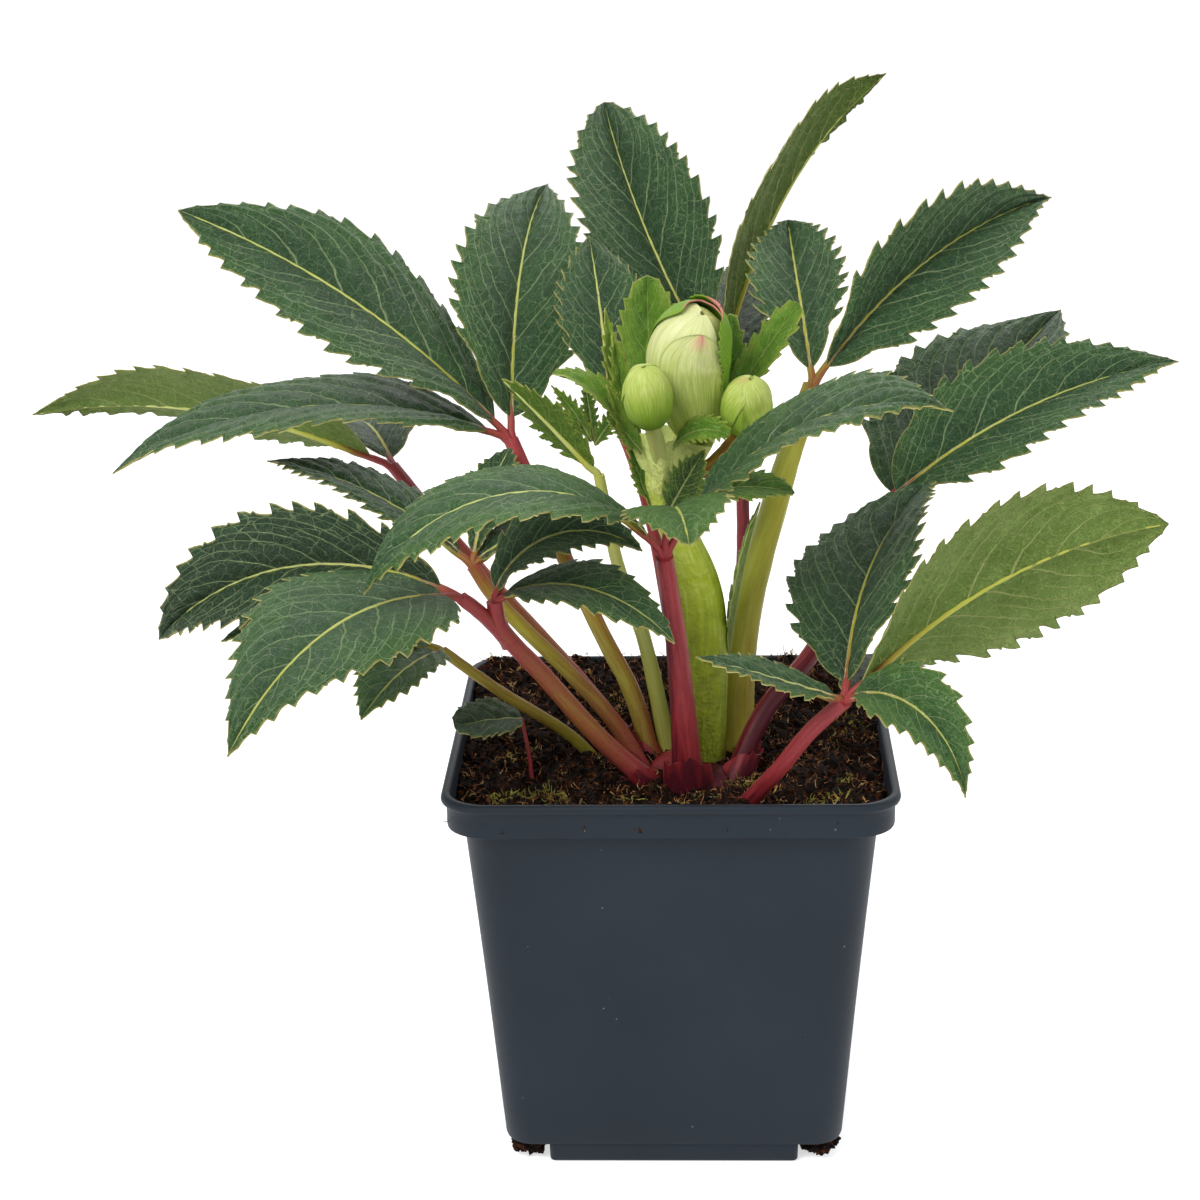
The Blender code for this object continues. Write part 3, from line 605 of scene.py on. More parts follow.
def smooth_route(route, steps):
    """Points on a Catmull-Rom curve through the route's own points."""
    points = [Vector(p) for p in route]
    padded = [2 * points[0] - points[1], *points, 2 * points[-1] - points[-2]]
    curve = []
    for i in range(len(points) - 1):
        a, b, c, d = padded[i:i + 4]
        for k in range(steps):
            t = k / steps
            curve.append(0.5 * (2 * b + (c - a) * t + (2 * a - 5 * b + 4 * c - d) * t * t
                                + (3 * b - a - 3 * c + d) * t ** 3))
    curve.append(points[-1])
    return np.array(curve)


def walked(base, ways, half_step):
    """Points of a line that leaves its base and follows a direction at each step."""
    moves = (ways[1:] + ways[:-1]) * half_step
    return np.array(base, float) + np.concatenate([np.zeros((1, 3)), np.cumsum(moves, axis=0)])


def blade_frames(base, blade, steps):
    """Places along a midrib, as shares, points and side, up and forward directions."""
    s = np.linspace(0, 1, steps + 1)
    turn = np.radians(blade.heading + blade.sweep * s)
    slope = np.radians(blade.rise - blade.droop * s)
    roll = np.radians(blade.roll + blade.twist * s)[:, None]
    along = np.stack(
        [np.cos(slope) * np.cos(turn), np.cos(slope) * np.sin(turn), np.sin(slope)], 1)
    points = walked(base, along, blade.length / steps / 2)
    level = np.stack([np.sin(turn), -np.cos(turn), np.zeros_like(turn)], 1)
    above = np.cross(level, along)
    side = level * np.cos(roll) + above * np.sin(roll)
    up = above * np.cos(roll) - level * np.sin(roll)
    return s, points, side, up, along


def give(mesh, label, values):
    """Store a number, or a vector of three, for each point of a mesh."""
    values = np.asarray(values, np.float32)
    kind, field = ("FLOAT_VECTOR", "vector") if values.ndim == 2 else ("FLOAT", "value")
    mesh.attributes.new(label, kind, "POINT").data.foreach_set(field, values.ravel())


def strand_carrier(strands):
    """Mesh of bare polylines whose points carry each strand's girth, blush and run."""
    points, edges, girths, blushes, runs = [], [], [], [], []
    for line, girth, blush in strands:
        first = len(points)
        points += [tuple(p * MM) for p in line]
        edges += [(first + k, first + k + 1) for k in range(len(line) - 1)]
        girths += [g * MM for g in girth]
        blushes += list(blush)
        runs += list(run_length(line) * MM)
    mesh = bpy.data.meshes.new("carrier")
    mesh.from_pydata(points, edges, [])
    for label, values in (("girth", girths), ("blush", blushes), ("run", runs)):
        give(mesh, label, values)
    return placed("carrier", mesh)


# Stem tree: a ribbed, slightly wrinkled tube along each polyline, as thick as its girth.
stems, given = geometry_tree("fleshy_stem", {
    "Sides": "Int", "Ribs": "Float", "Rib count": "Float", "Wrinkle": "Float",
    "Wrinkle scale": "Float", "Material": "Material"})
centre_line = add(stems, "GeometryNodeMeshToCurve", {0: given["Geometry"]})
section = add(stems, "GeometryNodeCurvePrimitiveCircle", {
    "Resolution": given["Sides"], "Radius": 1.0})
place = add(stems, "GeometryNodeInputPosition")
marked = add(stems, "GeometryNodeStoreNamedAttribute", {
    "Geometry": section, "Name": "around", "Value": place}, data_type="FLOAT_VECTOR")
girth = add(stems, "GeometryNodeInputNamedAttribute", {"Name": "girth"})
solid = add(stems, "GeometryNodeCurveToMesh", {
    "Curve": centre_line, "Profile Curve": marked, "Scale": girth, "Fill Caps": True})
around = add(stems, "GeometryNodeInputNamedAttribute", {"Name": "around"},
             data_type="FLOAT_VECTOR")
parts = add(stems, "ShaderNodeSeparateXYZ", {0: around})
angle = add(stems, "ShaderNodeMath", {0: parts.outputs["Y"], 1: parts.outputs["X"]},
            operation="ARCTAN2")
many = add(stems, "ShaderNodeMath", {0: angle, 1: given["Rib count"]}, operation="MULTIPLY")
wave = add(stems, "ShaderNodeMath", {0: many}, operation="COSINE")
ridge = add(stems, "ShaderNodeMath", {0: wave, 1: given["Ribs"]}, operation="MULTIPLY")
ridge = add(stems, "ShaderNodeMath", {0: ridge, 1: girth}, operation="MULTIPLY")
crease = add(stems, "ShaderNodeTexNoise", {
    "Vector": place, "Scale": given["Wrinkle scale"], "Detail": 2})
crease = add(stems, "ShaderNodeMath", {0: crease, 1: 0.5}, operation="SUBTRACT")
crease = add(stems, "ShaderNodeMath", {0: crease, 1: given["Wrinkle"]}, operation="MULTIPLY")
height = add(stems, "ShaderNodeMath", {0: ridge, 1: crease}, operation="ADD")
outward = add(stems, "GeometryNodeInputNormal")
push = add(stems, "ShaderNodeVectorMath", {0: outward, "Scale": height}, operation="SCALE")
moved = add(stems, "GeometryNodeSetPosition", {"Geometry": solid, "Offset": push})
smooth = add(stems, "GeometryNodeSetShadeSmooth", {"Geometry": moved})
real = add(stems, "GeometryNodeRealizeInstances", {0: smooth})
painted = add(stems, "GeometryNodeSetMaterial", {"Geometry": real, "Material": given["Material"]})
add(stems, "NodeGroupOutput", {0: painted})

# Stalk skin: smooth fleshy rind with a waxy bloom. "blush" runs from cream-green through
# olive to wine red, and painted shade deepens it on one side of each stalk. Streaks under
# 1 mm wide follow the stalk, with freckles about 0.4 mm across.
stalk_skin, tree = new_material("stalk_rind")
blush = add(tree, "ShaderNodeAttribute", attribute_name="blush").outputs["Fac"]
around = add(tree, "ShaderNodeAttribute", attribute_name="around").outputs["Vector"]
run = add(tree, "ShaderNodeAttribute", attribute_name="run").outputs["Fac"]
turned = add(tree, "ShaderNodeVectorMath", {0: around, "Scale": 2.2}, operation="SCALE")
lengthwise = add(tree, "ShaderNodeMath", {0: run, 1: 60.0}, operation="MULTIPLY")
lift = add(tree, "ShaderNodeCombineXYZ", {2: lengthwise})
grain = add(tree, "ShaderNodeVectorMath", {0: turned, 1: lift}, operation="ADD")
streaks = add(tree, "ShaderNodeTexNoise", {
    "Vector": grain, "Scale": 1.6, "Detail": 4, "Roughness": 0.6})
drift = add(tree, "ShaderNodeMapRange", {0: streaks, 1: 0.3, 2: 0.7, 3: -0.08, 4: 0.08})
shade = add(tree, "ShaderNodeMath", {0: blush, 1: drift}, operation="ADD")
# painted shade: blush is raised on one side of each stalk, knob and sheath, darkening that side
painted_side_shade = add(tree, "ShaderNodeSeparateXYZ", {0: around}).outputs["X"]
shade = add(tree, "ShaderNodeMath", {0: painted_side_shade, 1: 0.1, 2: shade}, operation="MULTIPLY_ADD")
tint = add(tree, "ShaderNodeValToRGB", {0: shade}, stops=[
    (0.0, "#c0c878"), (0.2, "#b4b544"), (0.38, "#a39433"), (0.55, "#8d5a2a"),
    (0.75, "#a03c3f"), (0.9, "#86272c"), (1.0, "#4c141f")])
place = add(tree, "ShaderNodeTexCoord").outputs["Object"]
freckle = add(tree, "ShaderNodeTexVoronoi", {"Vector": place, "Scale": 900, "Randomness": 1.0})
spot = add(tree, "ShaderNodeMapRange", {0: freckle, 1: 0.12, 2: 0.3, 3: 0.45, 4: 0.0})
dark = add(tree, "ShaderNodeMix", {0: spot, 6: tint, 7: linear("#5a1a26")}, data_type="RGBA")
freckled = add(tree, "ShaderNodeMapRange", {0: shade, 1: 0.3, 2: 0.6, 3: 0.0, 4: 1.0})
skin = add(tree, "ShaderNodeMix", {0: freckled, 6: tint, 7: dark}, data_type="RGBA")
dull = add(tree, "ShaderNodeMapRange", {0: streaks, 3: 0.34, 4: 0.52})
bump = add(tree, "ShaderNodeBump", {"Height": streaks, "Strength": 0.5, "Distance": 0.0003})
shader = add(tree, "ShaderNodeBsdfPrincipled", {
    "Base Color": skin, "Roughness": dull, "Normal": bump, "IOR": 1.42,
    "Specular IOR Level": 0.35})
add(tree, "ShaderNodeOutputMaterial", {0: shader})

STALK_STEPS = 8
MIDRIB_GIRTH = 1.35
MIDRIB_TIP = 0.22
MIDRIB_STEPS = 40
MIDRIB_ROOTS = (5.0, 2.5)


def stalk_strand(stalk):
    """Centre line of a stalk with its girth and blush at each point."""
    line = smooth_route(stalk.route, STALK_STEPS)
    share = np.linspace(0, 1, len(line))
    girth = stalk.foot + (stalk.top - stalk.foot) * share ** 0.6
    girth = girth * (1 + 0.35 * np.exp(-share / 0.05))
    blush = np.interp(share, np.linspace(0, 1, len(stalk.blush)), stalk.blush)
    return line, girth, blush


def midrib_strand(route, blade, hub_blush):
    """Line that leaves the stalk below the hub and runs under the blade to its tip."""
    s, points, _, up, _ = blade_frames(route[-1], blade, MIDRIB_STEPS)
    bare = blade.bare / BARE_PARTS
    girth = MIDRIB_GIRTH + (MIDRIB_TIP - MIDRIB_GIRTH) * s ** 0.55
    sunk = np.clip((s - bare * 0.6) / 0.06, 0, 1)
    points = points - up * (girth * 0.75 * sunk)[:, None]
    root = np.array(route[-1], float)
    inward = np.array(route[-2], float) - root
    inward /= np.linalg.norm(inward)
    start = [root + inward * reach for reach in MIDRIB_ROOTS]
    blush = np.interp(s, [0, bare, bare + 0.1, bare + 0.3, 1],
                      [hub_blush, hub_blush * 0.9, 0.3, 0.12, 0.06])
    return (np.concatenate([start, points[1:-1]]), np.concatenate([[girth[0]] * 2, girth[1:-1]]),
            np.concatenate([[hub_blush] * 2, blush[1:-1]]))


def fleshy(name, strands, sides, ribs, rib_count, wrinkle, wrinkle_scale):
    """Ribbed tubes along the strands, in the stalks' rind."""
    carrier = strand_carrier(strands)
    made = grown(name, carrier, stems, {
        "Sides": sides, "Ribs": ribs, "Rib count": rib_count, "Wrinkle": wrinkle,
        "Wrinkle scale": wrinkle_scale, "Material": stalk_skin})
    bpy.data.objects.remove(carrier)
    return made


for name, stalk in STALKS.items():
    strands = [stalk_strand(stalk)]
    strands += [midrib_strand(stalk.route, blade, stalk.blush[-1]) for blade in LEAFLETS[name]]
    if name == "low_left":
        strands.append(stalk_strand(FORK))
        strands += [midrib_strand(FORK.route, blade, 0.85) for blade in LEAFLETS["low_left_fork"]]
    made = fleshy(f"{name}_stalk_and_ribs", strands, sides=16, ribs=0.035, rib_count=5.0,
                  wrinkle=0.0005, wrinkle_scale=260.0)
    seat(made, "stalk", f"{name}_stalk")


# ---------------------------------------------------------------- Leaf blades
# Leathery evergreen blades with saw-toothed margins: dark blue-green and waxy above,
# matt olive beneath. The side veins leave the midrib at a slant and loop together short
# of the margin, and the skin between them is quilted by a net of finer veins.

def blade_skin(name, ground, vein, midrib, rim, veining, relief, roughness, gloss):
    """Skin of a blade, drawn from its own attributes.

    "leaf" is millimetres along and across plus a number that sets the leaves apart,
    "vein" is the side veins' phase, the share of the half width and the distance in
    from the margin, "reach" is the share of the length and "shade" the leaf's own tone,
    with painted shade on leaves that lie in shadow.
    """
    made, tree = new_material(name)
    leaf = add(tree, "ShaderNodeAttribute", attribute_name="leaf").outputs["Vector"]
    vein_at = add(tree, "ShaderNodeAttribute", attribute_name="vein").outputs["Vector"]
    reach = add(tree, "ShaderNodeAttribute", attribute_name="reach").outputs["Fac"]
    shade = add(tree, "ShaderNodeAttribute", attribute_name="shade").outputs["Fac"]
    leaf_parts = add(tree, "ShaderNodeSeparateXYZ", {0: leaf})
    vein_parts = add(tree, "ShaderNodeSeparateXYZ", {0: vein_at})
    across = leaf_parts.outputs["Y"]
    share = vein_parts.outputs["Y"]
    edge = vein_parts.outputs["Z"]
    # side veins: one at each whole number of the phase, set forward on the left half
    left = add(tree, "ShaderNodeMath", {0: across, 1: 0.0}, operation="GREATER_THAN")
    set_on = add(tree, "ShaderNodeMath", {0: left, 1: SIDE_OFFSET}, operation="MULTIPLY")
    phase = add(tree, "ShaderNodeMath", {0: vein_parts.outputs["X"], 1: set_on}, operation="ADD")
    bend = add(tree, "ShaderNodeTexNoise", {"Vector": leaf, "Scale": 0.11, "Detail": 2})
    bend = add(tree, "ShaderNodeMapRange", {0: bend, 3: -0.16, 4: 0.16})
    phase = add(tree, "ShaderNodeMath", {0: phase, 1: bend}, operation="ADD")
    off = add(tree, "ShaderNodeMath", {0: phase, 1: 0.5}, operation="PINGPONG")
    side_vein = add(tree, "ShaderNodeMapRange", {0: off, 1: 0.013, 2: 0.048, 3: 1.0, 4: 0.0})
    fade = add(tree, "ShaderNodeMapRange", {0: share, 1: 0.2, 2: 0.98, 3: 1.0, 4: 0.45})
    side_vein = add(tree, "ShaderNodeMath", {0: side_vein, 1: fade}, operation="MULTIPLY")
    # forks: a second set between them that starts part of the way out
    between = add(tree, "ShaderNodeMath", {0: 0.5, 1: off}, operation="SUBTRACT")
    fork = add(tree, "ShaderNodeMapRange", {0: between, 1: 0.012, 2: 0.05, 3: 1.0, 4: 0.0})
    grown_in = add(tree, "ShaderNodeMapRange", {0: share, 1: 0.3, 2: 0.5, 3: 0.0, 4: 0.8})
    fork = add(tree, "ShaderNodeMath", {0: fork, 1: grown_in}, operation="MULTIPLY")
    side_vein = add(tree, "ShaderNodeMath", {0: side_vein, 1: fork}, operation="MAXIMUM")
    # net: cells about 4.5 mm by 4 mm between the side veins, and 1.2 mm ones within
    slant = add(tree, "ShaderNodeMath", {
        0: leaf_parts.outputs["X"], 1: 0.22, 2: leaf_parts.outputs["Z"]}, operation="MULTIPLY_ADD")
    over = add(tree, "ShaderNodeMath", {0: across, 1: 0.24}, operation="MULTIPLY")
    net_at = add(tree, "ShaderNodeCombineXYZ", {0: slant, 1: over})
    wobble = add(tree, "ShaderNodeTexNoise", {"Vector": leaf, "Scale": 0.45, "Detail": 1})
    wobble = add(tree, "ShaderNodeVectorMath", {0: wobble.outputs["Color"], "Scale": 0.5},
                 operation="SCALE")
    net_at = add(tree, "ShaderNodeVectorMath", {0: net_at, 1: wobble}, operation="ADD")
    net = add(tree, "ShaderNodeTexVoronoi", {"Vector": net_at, "Scale": 1.0},
              feature="DISTANCE_TO_EDGE", voronoi_dimensions="2D")
    net_line = add(tree, "ShaderNodeMapRange", {0: net, 1: 0.02, 2: 0.055, 3: 1.0, 4: 0.0})
    clear = add(tree, "ShaderNodeTexNoise", {"Vector": leaf, "Scale": 0.06, "Detail": 2})
    clear = add(tree, "ShaderNodeMapRange", {0: clear, 1: 0.35, 2: 0.65, 3: 0.6, 4: 1.0})
    bold = add(tree, "ShaderNodeMapRange", {0: share, 1: 0.15, 2: 0.7, 3: 0.4, 4: 0.75})
    net_line = add(tree, "ShaderNodeMath", {0: net_line, 1: clear}, operation="MULTIPLY")
    net_line = add(tree, "ShaderNodeMath", {0: net_line, 1: bold}, operation="MULTIPLY")
    fine = add(tree, "ShaderNodeTexVoronoi", {"Vector": net_at, "Scale": 3.7},
               feature="DISTANCE_TO_EDGE", voronoi_dimensions="2D")
    fine_line = add(tree, "ShaderNodeMapRange", {0: fine, 1: 0.02, 2: 0.14, 3: 0.15, 4: 0.0})
    # midrib: tapers from 1.6 mm across to 0.3 mm
    beside = add(tree, "ShaderNodeMath", {0: across}, operation="ABSOLUTE")
    half = add(tree, "ShaderNodeMapRange", {0: reach, 1: 0.0, 2: 1.0, 3: 0.7, 4: 0.12})
    near = add(tree, "ShaderNodeMath", {0: beside, 1: half}, operation="DIVIDE")
    rib = add(tree, "ShaderNodeMapRange", {0: near, 1: 0.6, 2: 1.15, 3: 1.0, 4: 0.0})
    lines = add(tree, "ShaderNodeMath", {0: side_vein, 1: net_line}, operation="MAXIMUM")
    lines = add(tree, "ShaderNodeMath", {0: lines, 1: fine_line}, operation="MAXIMUM")
    # ground: mottled, paler and yellower towards the margin
    mottle = add(tree, "ShaderNodeTexNoise", {
        "Vector": leaf, "Scale": 0.09, "Detail": 6, "Roughness": 0.75})
    mottle = add(tree, "ShaderNodeMapRange", {0: mottle, 1: 0.2, 2: 0.8, 3: 0.3, 4: 0.7})
    outer = add(tree, "ShaderNodeMapRange", {0: share, 1: 0.3, 2: 1.0, 3: -0.06, 4: 0.14})
    level = add(tree, "ShaderNodeMath", {0: mottle, 1: outer}, operation="ADD")
    # painted shade: the blade's shade value darkens leaves that lie in shadow, besides setting
    # their own tone
    tone = add(tree, "ShaderNodeMapRange", {0: shade, 3: -0.3, 4: 0.3})
    level = add(tree, "ShaderNodeMath", {0: level, 1: tone}, operation="ADD")
    base = add(tree, "ShaderNodeValToRGB", {0: level}, stops=ground)
    drawn = add(tree, "ShaderNodeMath", {0: lines, 1: veining}, operation="MULTIPLY")
    veined = add(tree, "ShaderNodeMix", {0: drawn, 6: base, 7: linear(vein)}, data_type="RGBA")
    rib_tint = add(tree, "ShaderNodeValToRGB", {0: reach}, stops=midrib)
    ribbed = add(tree, "ShaderNodeMix", {0: rib, 6: veined, 7: rib_tint}, data_type="RGBA")
    edging = add(tree, "ShaderNodeMapRange", {0: edge, 1: 0.0, 2: 0.5, 3: 0.9, 4: 0.0})
    paint = add(tree, "ShaderNodeMix", {0: edging, 6: ribbed, 7: linear(rim)}, data_type="RGBA")
    # relief: veins sunk above and raised beneath, over a fine pebbled grain
    grain = add(tree, "ShaderNodeTexNoise", {
        "Vector": leaf, "Scale": 0.75, "Detail": 3, "Distortion": 1.8})
    crinkle = add(tree, "ShaderNodeMath", {0: grain, 1: 0.5}, operation="SUBTRACT")
    crinkle = add(tree, "ShaderNodeMath", {0: crinkle}, operation="ABSOLUTE")
    crinkle = add(tree, "ShaderNodeMapRange", {0: crinkle, 1: 0.0, 2: 0.12, 3: 0.0, 4: 1.0})
    ridges = add(tree, "ShaderNodeMath", {0: lines, 1: relief}, operation="MULTIPLY")
    height = add(tree, "ShaderNodeMath", {0: crinkle, 1: 0.45, 2: ridges},
                 operation="MULTIPLY_ADD")
    bump = add(tree, "ShaderNodeBump", {"Height": height, "Strength": 1.0, "Distance": 0.0006})
    dull = add(tree, "ShaderNodeMapRange", {
        0: grain, 1: 0.3, 2: 0.7, 3: roughness - 0.08, 4: roughness + 0.08})
    shader = add(tree, "ShaderNodeBsdfPrincipled", {
        "Base Color": paint, "Roughness": dull, "Normal": bump, "IOR": 1.45,
        "Specular IOR Level": gloss})
    add(tree, "ShaderNodeOutputMaterial", {0: shader})
    return made


# Upper skin: waxy cuticle over dark green, so it takes a soft blue-grey sheen.
SIDE_OFFSET = 0.4
leaf_top = blade_skin(
    "waxy_leaf_upper",
    [(0.25, "#1d3921"), (0.45, "#2a4d2b"), (0.62, "#396030"), (0.85, "#50782f")], "#a3b983",
    [(0.0, "#e0c9a0"), (0.12, "#e2dba0"), (0.6, "#d3d98f"), (1.0, "#b5c47c")], "#b8ae62",
    veining=0.64, relief=-0.6, roughness=0.4, gloss=0.4)
# Under skin: matt, with no cuticle shine, its veins standing proud.
leaf_under = blade_skin(
    "matt_leaf_underside",
    [(0.2, "#3a5017"), (0.5, "#5d772e"), (0.75, "#7a944a"), (0.95, "#95aa63")], "#b3bd72",
    [(0.0, "#b9aa68"), (0.4, "#adab5c"), (1.0, "#98a355")], "#8a8240",
    veining=0.75, relief=0.8, roughness=0.6, gloss=0.22)

# Leaf edge: the dry horny rim that the teeth are tipped with.
leaf_rim = dry_finish("horny_leaf_rim", 150, [(0.35, "#8f8f45"), (0.65, "#cfc57e")],
                      roughness=0.6)

# Young skins: the same blade while still thin and soft, a much brighter yellow-green.
bract_top = blade_skin(
    "bright_bract_upper",
    [(0.15, "#2e4f1b"), (0.35, "#4a7d20"), (0.55, "#6ea02a"), (0.8, "#a3c440")], "#c3d57c",
    [(0.0, "#c6cf8a"), (1.0, "#a9c46a")], "#c2c45c",
    veining=0.75, relief=-0.8, roughness=0.42, gloss=0.35)
bract_under = blade_skin(
    "bright_bract_underside",
    [(0.25, "#50701e"), (0.5, "#6a8d28"), (0.75, "#87a63a"), (0.95, "#a3bd50")], "#b7cb72",
    [(0.0, "#c6cf8a"), (1.0, "#b2c86c")], "#b9bd5c",
    veining=0.6, relief=0.6, roughness=0.5, gloss=0.3)
bract_rim, tree = new_material("horny_bract_rim")
shader = add(tree, "ShaderNodeBsdfPrincipled", {
    "Base Color": linear("#a9b456"), "Roughness": 0.55})
add(tree, "ShaderNodeOutputMaterial", {0: shader})
LEAF_SKINS = [leaf_top, leaf_under, leaf_rim]
BRACT_SKINS = [bract_top, bract_under, bract_rim]

# How a blade is cut: its mesh rows and columns, then for each side the number of teeth,
# their depth, how far the points lean forward, and the number of veins.
Cut = namedtuple("Cut", "rows columns teeth depth hook veins")
LARGE = Cut(120, 18, 12, 3.1, 1.1, 7)
SMALL = Cut(72, 12, 9, 2.1, 0.9, 6)
LARGE_FROM = 72

# Half the thickness of a blade and of its rim, then how high its quilting, its arch, the
# waves of its margin and its pebbling rise, and how deep the midrib's groove is.
BLADE_HALF = 0.24
RIM_HALF = 0.10
QUILTING = 0.75
ARCHING = 0.9
EDGE_WAVE = 1.1
PEBBLING = 0.18
GROOVE = 0.5


def outline(half, widest, full, u):
    """Half width along a blade: nothing at both ends, and all of it at the widest."""
    rest = 1 - widest
    return half * (u / widest) ** full * ((1 - u) / rest) ** (full * rest / widest)


def toothed_margin(rng, cut_as, half):
    """Inset of one margin and forward reach of its teeth, row by row."""
    rows = cut_as.rows
    inset = np.zeros(rows + 1)
    lean = np.zeros(rows + 1)
    gaps = rng.uniform(0.75, 1.25, cut_as.teeth) * np.linspace(1.15, 0.75, cut_as.teeth)
    first = rng.uniform(0.10, 0.15)
    last = rng.uniform(0.955, 0.975)
    bounds = first + np.concatenate([[0], np.cumsum(gaps)]) / gaps.sum() * (last - first)
    bounds = np.round(bounds * rows).astype(int)
    widest = half.max()
    for low, tip in zip(bounds[:-1], bounds[1:]):
        depth = cut_as.depth * rng.uniform(0.8, 1.2) * min(1.0, (half[tip] / widest) ** 0.6 + 0.05)
        depth = min(depth, half[low + 1] * 0.45)
        span = max(tip - low - 1, 1)
        for row in range(low + 1, tip + 1):
            inset[row] = depth * (1 - ((row - low - 1) / span) ** 1.5)
        if span > 6 and rng.random() < 0.6:
            middle = low + 1 + int(span * rng.uniform(0.45, 0.65))
            inset[middle] -= 0.18 * depth
            inset[middle + 1] += 0.1 * depth
        lean[tip] = cut_as.hook * depth / cut_as.depth
        lean[low + 1] = -0.15
    ease = np.arange(bounds[0] + 1) / max(bounds[0], 1)
    inset[:bounds[0] + 1] = inset[bounds[0] + 1] * ease ** 2
    return inset, lean


def closed_shell(name, top, under, skins, values, sharp=50):
    """Thin solid between two grids of points, with attributes from the grids' values.

    The skins go on the upper face, the under face and the rim, or one goes on all.
    """
    rows, across = top.shape[:2]
    count = rows * across
    index = np.arange(count).reshape(rows, across)
    a, b, c, d = index[:-1, :-1], index[1:, :-1], index[1:, 1:], index[:-1, 1:]
    upper = np.stack([a, d, c, b], -1).reshape(-1, 4)
    lower = np.stack([a, b, c, d], -1).reshape(-1, 4) + count
    loop = np.concatenate([index[0, :], index[1:, -1], index[-1, -2::-1], index[-2:0:-1, 0]])
    after = np.roll(loop, -1)
    rim = np.stack([loop, loop + count, after + count, after], -1)
    faces = np.concatenate([upper, lower, rim])
    points = np.concatenate([top.reshape(-1, 3), under.reshape(-1, 3)])
    item = mesh_object(name, points, faces.tolist(), skins, sharp)
    if len(skins) == 3:
        item.data.polygons.foreach_set("material_index", np.repeat(
            [0, 1, 2], [len(upper), len(lower), len(rim)]).astype(np.int32))
    for label, cells in values.items():
        face = cells.reshape(count, *cells.shape[2:])
        give(item.data, label, np.concatenate([face, face]))
    return item


def blade_object(name, base, blade, cut_as, seed, shade, skins, grain=1.0):
    """Thin closed blade: a quilted upper skin, an under skin and a toothed rim."""
    rng = np.random.default_rng(seed)
    rows, columns = cut_as.rows, cut_as.columns
    s_all, *parts = blade_frames(base, blade, 4 * rows)
    start = blade.bare / BARE_PARTS
    u = np.linspace(0, 1, rows + 1)
    wanted = start + (1 - start) * u
    centre, side, up, along = [read_off(wanted, s_all, part) for part in parts]
    inside = np.clip((wanted - start) / (1 - start), 1e-6, 1 - 1e-6)
    half = np.maximum(outline(blade.width / 2, blade.widest, blade.full, inside), 0.25)
    fold = math.radians(blade.fold)
    size = blade.width / 50
    body = np.clip(u / 0.08, 0, 1) * np.clip((1 - u) / 0.1, 0, 1)
    grid = np.zeros((rows + 1, 2 * columns + 1, 3))
    normal = np.zeros_like(grid)
    leaf = np.zeros_like(grid)
    vein = np.zeros_like(grid)
    lift = np.zeros((rows + 1, 2 * columns + 1))
    waves = rng.uniform(0, math.tau, 8)
    for sign in (1, -1):
        out = sign * side * math.cos(fold) + up * math.sin(fold)
        outward = up * math.cos(fold) - sign * side * math.sin(fold)
        inset, lean = toothed_margin(rng, cut_as, half)
        edge = np.maximum(half - inset, 0.12)
        for j in range(columns + 1):
            q = min(j / (columns - 1), 1.0)
            weight = min(max((q - 0.5) / 0.5, 0.0), 1.0) ** 1.5
            inner = np.maximum(edge - 0.45, edge * 0.6)
            y = edge if j == columns else half * q * (1 - weight) + inner * q * weight
            forward = lean * (1.0 if j == columns else 0.75 * weight ** 2)
            share = y / half
            drift = 0.30 * share + 0.20 * share ** 4
            ripple = 0.10 * share * np.sin(math.tau * 1.3 * u + waves[0 if sign > 0 else 1])
            phase = cut_as.veins * (u - drift) + ripple
            quilt = np.abs(np.sin(math.pi * (phase + (SIDE_OFFSET if sign > 0 else 0)))) ** 0.8
            ends = np.clip(share * 5, 0, 1)
            h = QUILTING * size * quilt * ends * np.clip((1.02 - share) * 4, 0, 1) * body
            h += ARCHING * size * np.sin(math.pi * np.clip(share, 0, 1)) * body
            wave = np.sin(math.tau * 1.9 * u + waves[2 if sign > 0 else 3])
            h += EDGE_WAVE * size * share ** 2 * wave * body
            across = PEBBLING * np.sin(y * 1.15 + waves[4])
            h += across * np.sin(u * blade.length * 0.95 + waves[5]) * body * (share < 0.97)
            h -= GROOVE * size * np.exp(-(y / 1.3) ** 2) * body
            column = columns + sign * j
            grid[:, column] = (centre + out * y[:, None] + along * forward[:, None]
                               + outward * h[:, None])
            normal[:, column] = outward if j else up
            leaf[:, column] = np.stack([u * blade.length + forward, sign * y,
                                        np.full(rows + 1, seed * 7.3)], 1)
            vein[:, column] = np.stack([phase, share, edge - y], 1)
            lift[:, column] = RIM_HALF if j == columns else BLADE_HALF
    normal /= np.linalg.norm(normal, axis=2, keepdims=True)
    lift = lift[:, :, None]
    return closed_shell(name, grid + normal * lift, grid - normal * lift, skins, {
        "leaf": leaf * grain, "vein": vein,
        "reach": np.repeat(u, 2 * columns + 1).reshape(rows + 1, -1),
        "shade": np.full(grid.shape[:2], shade)})
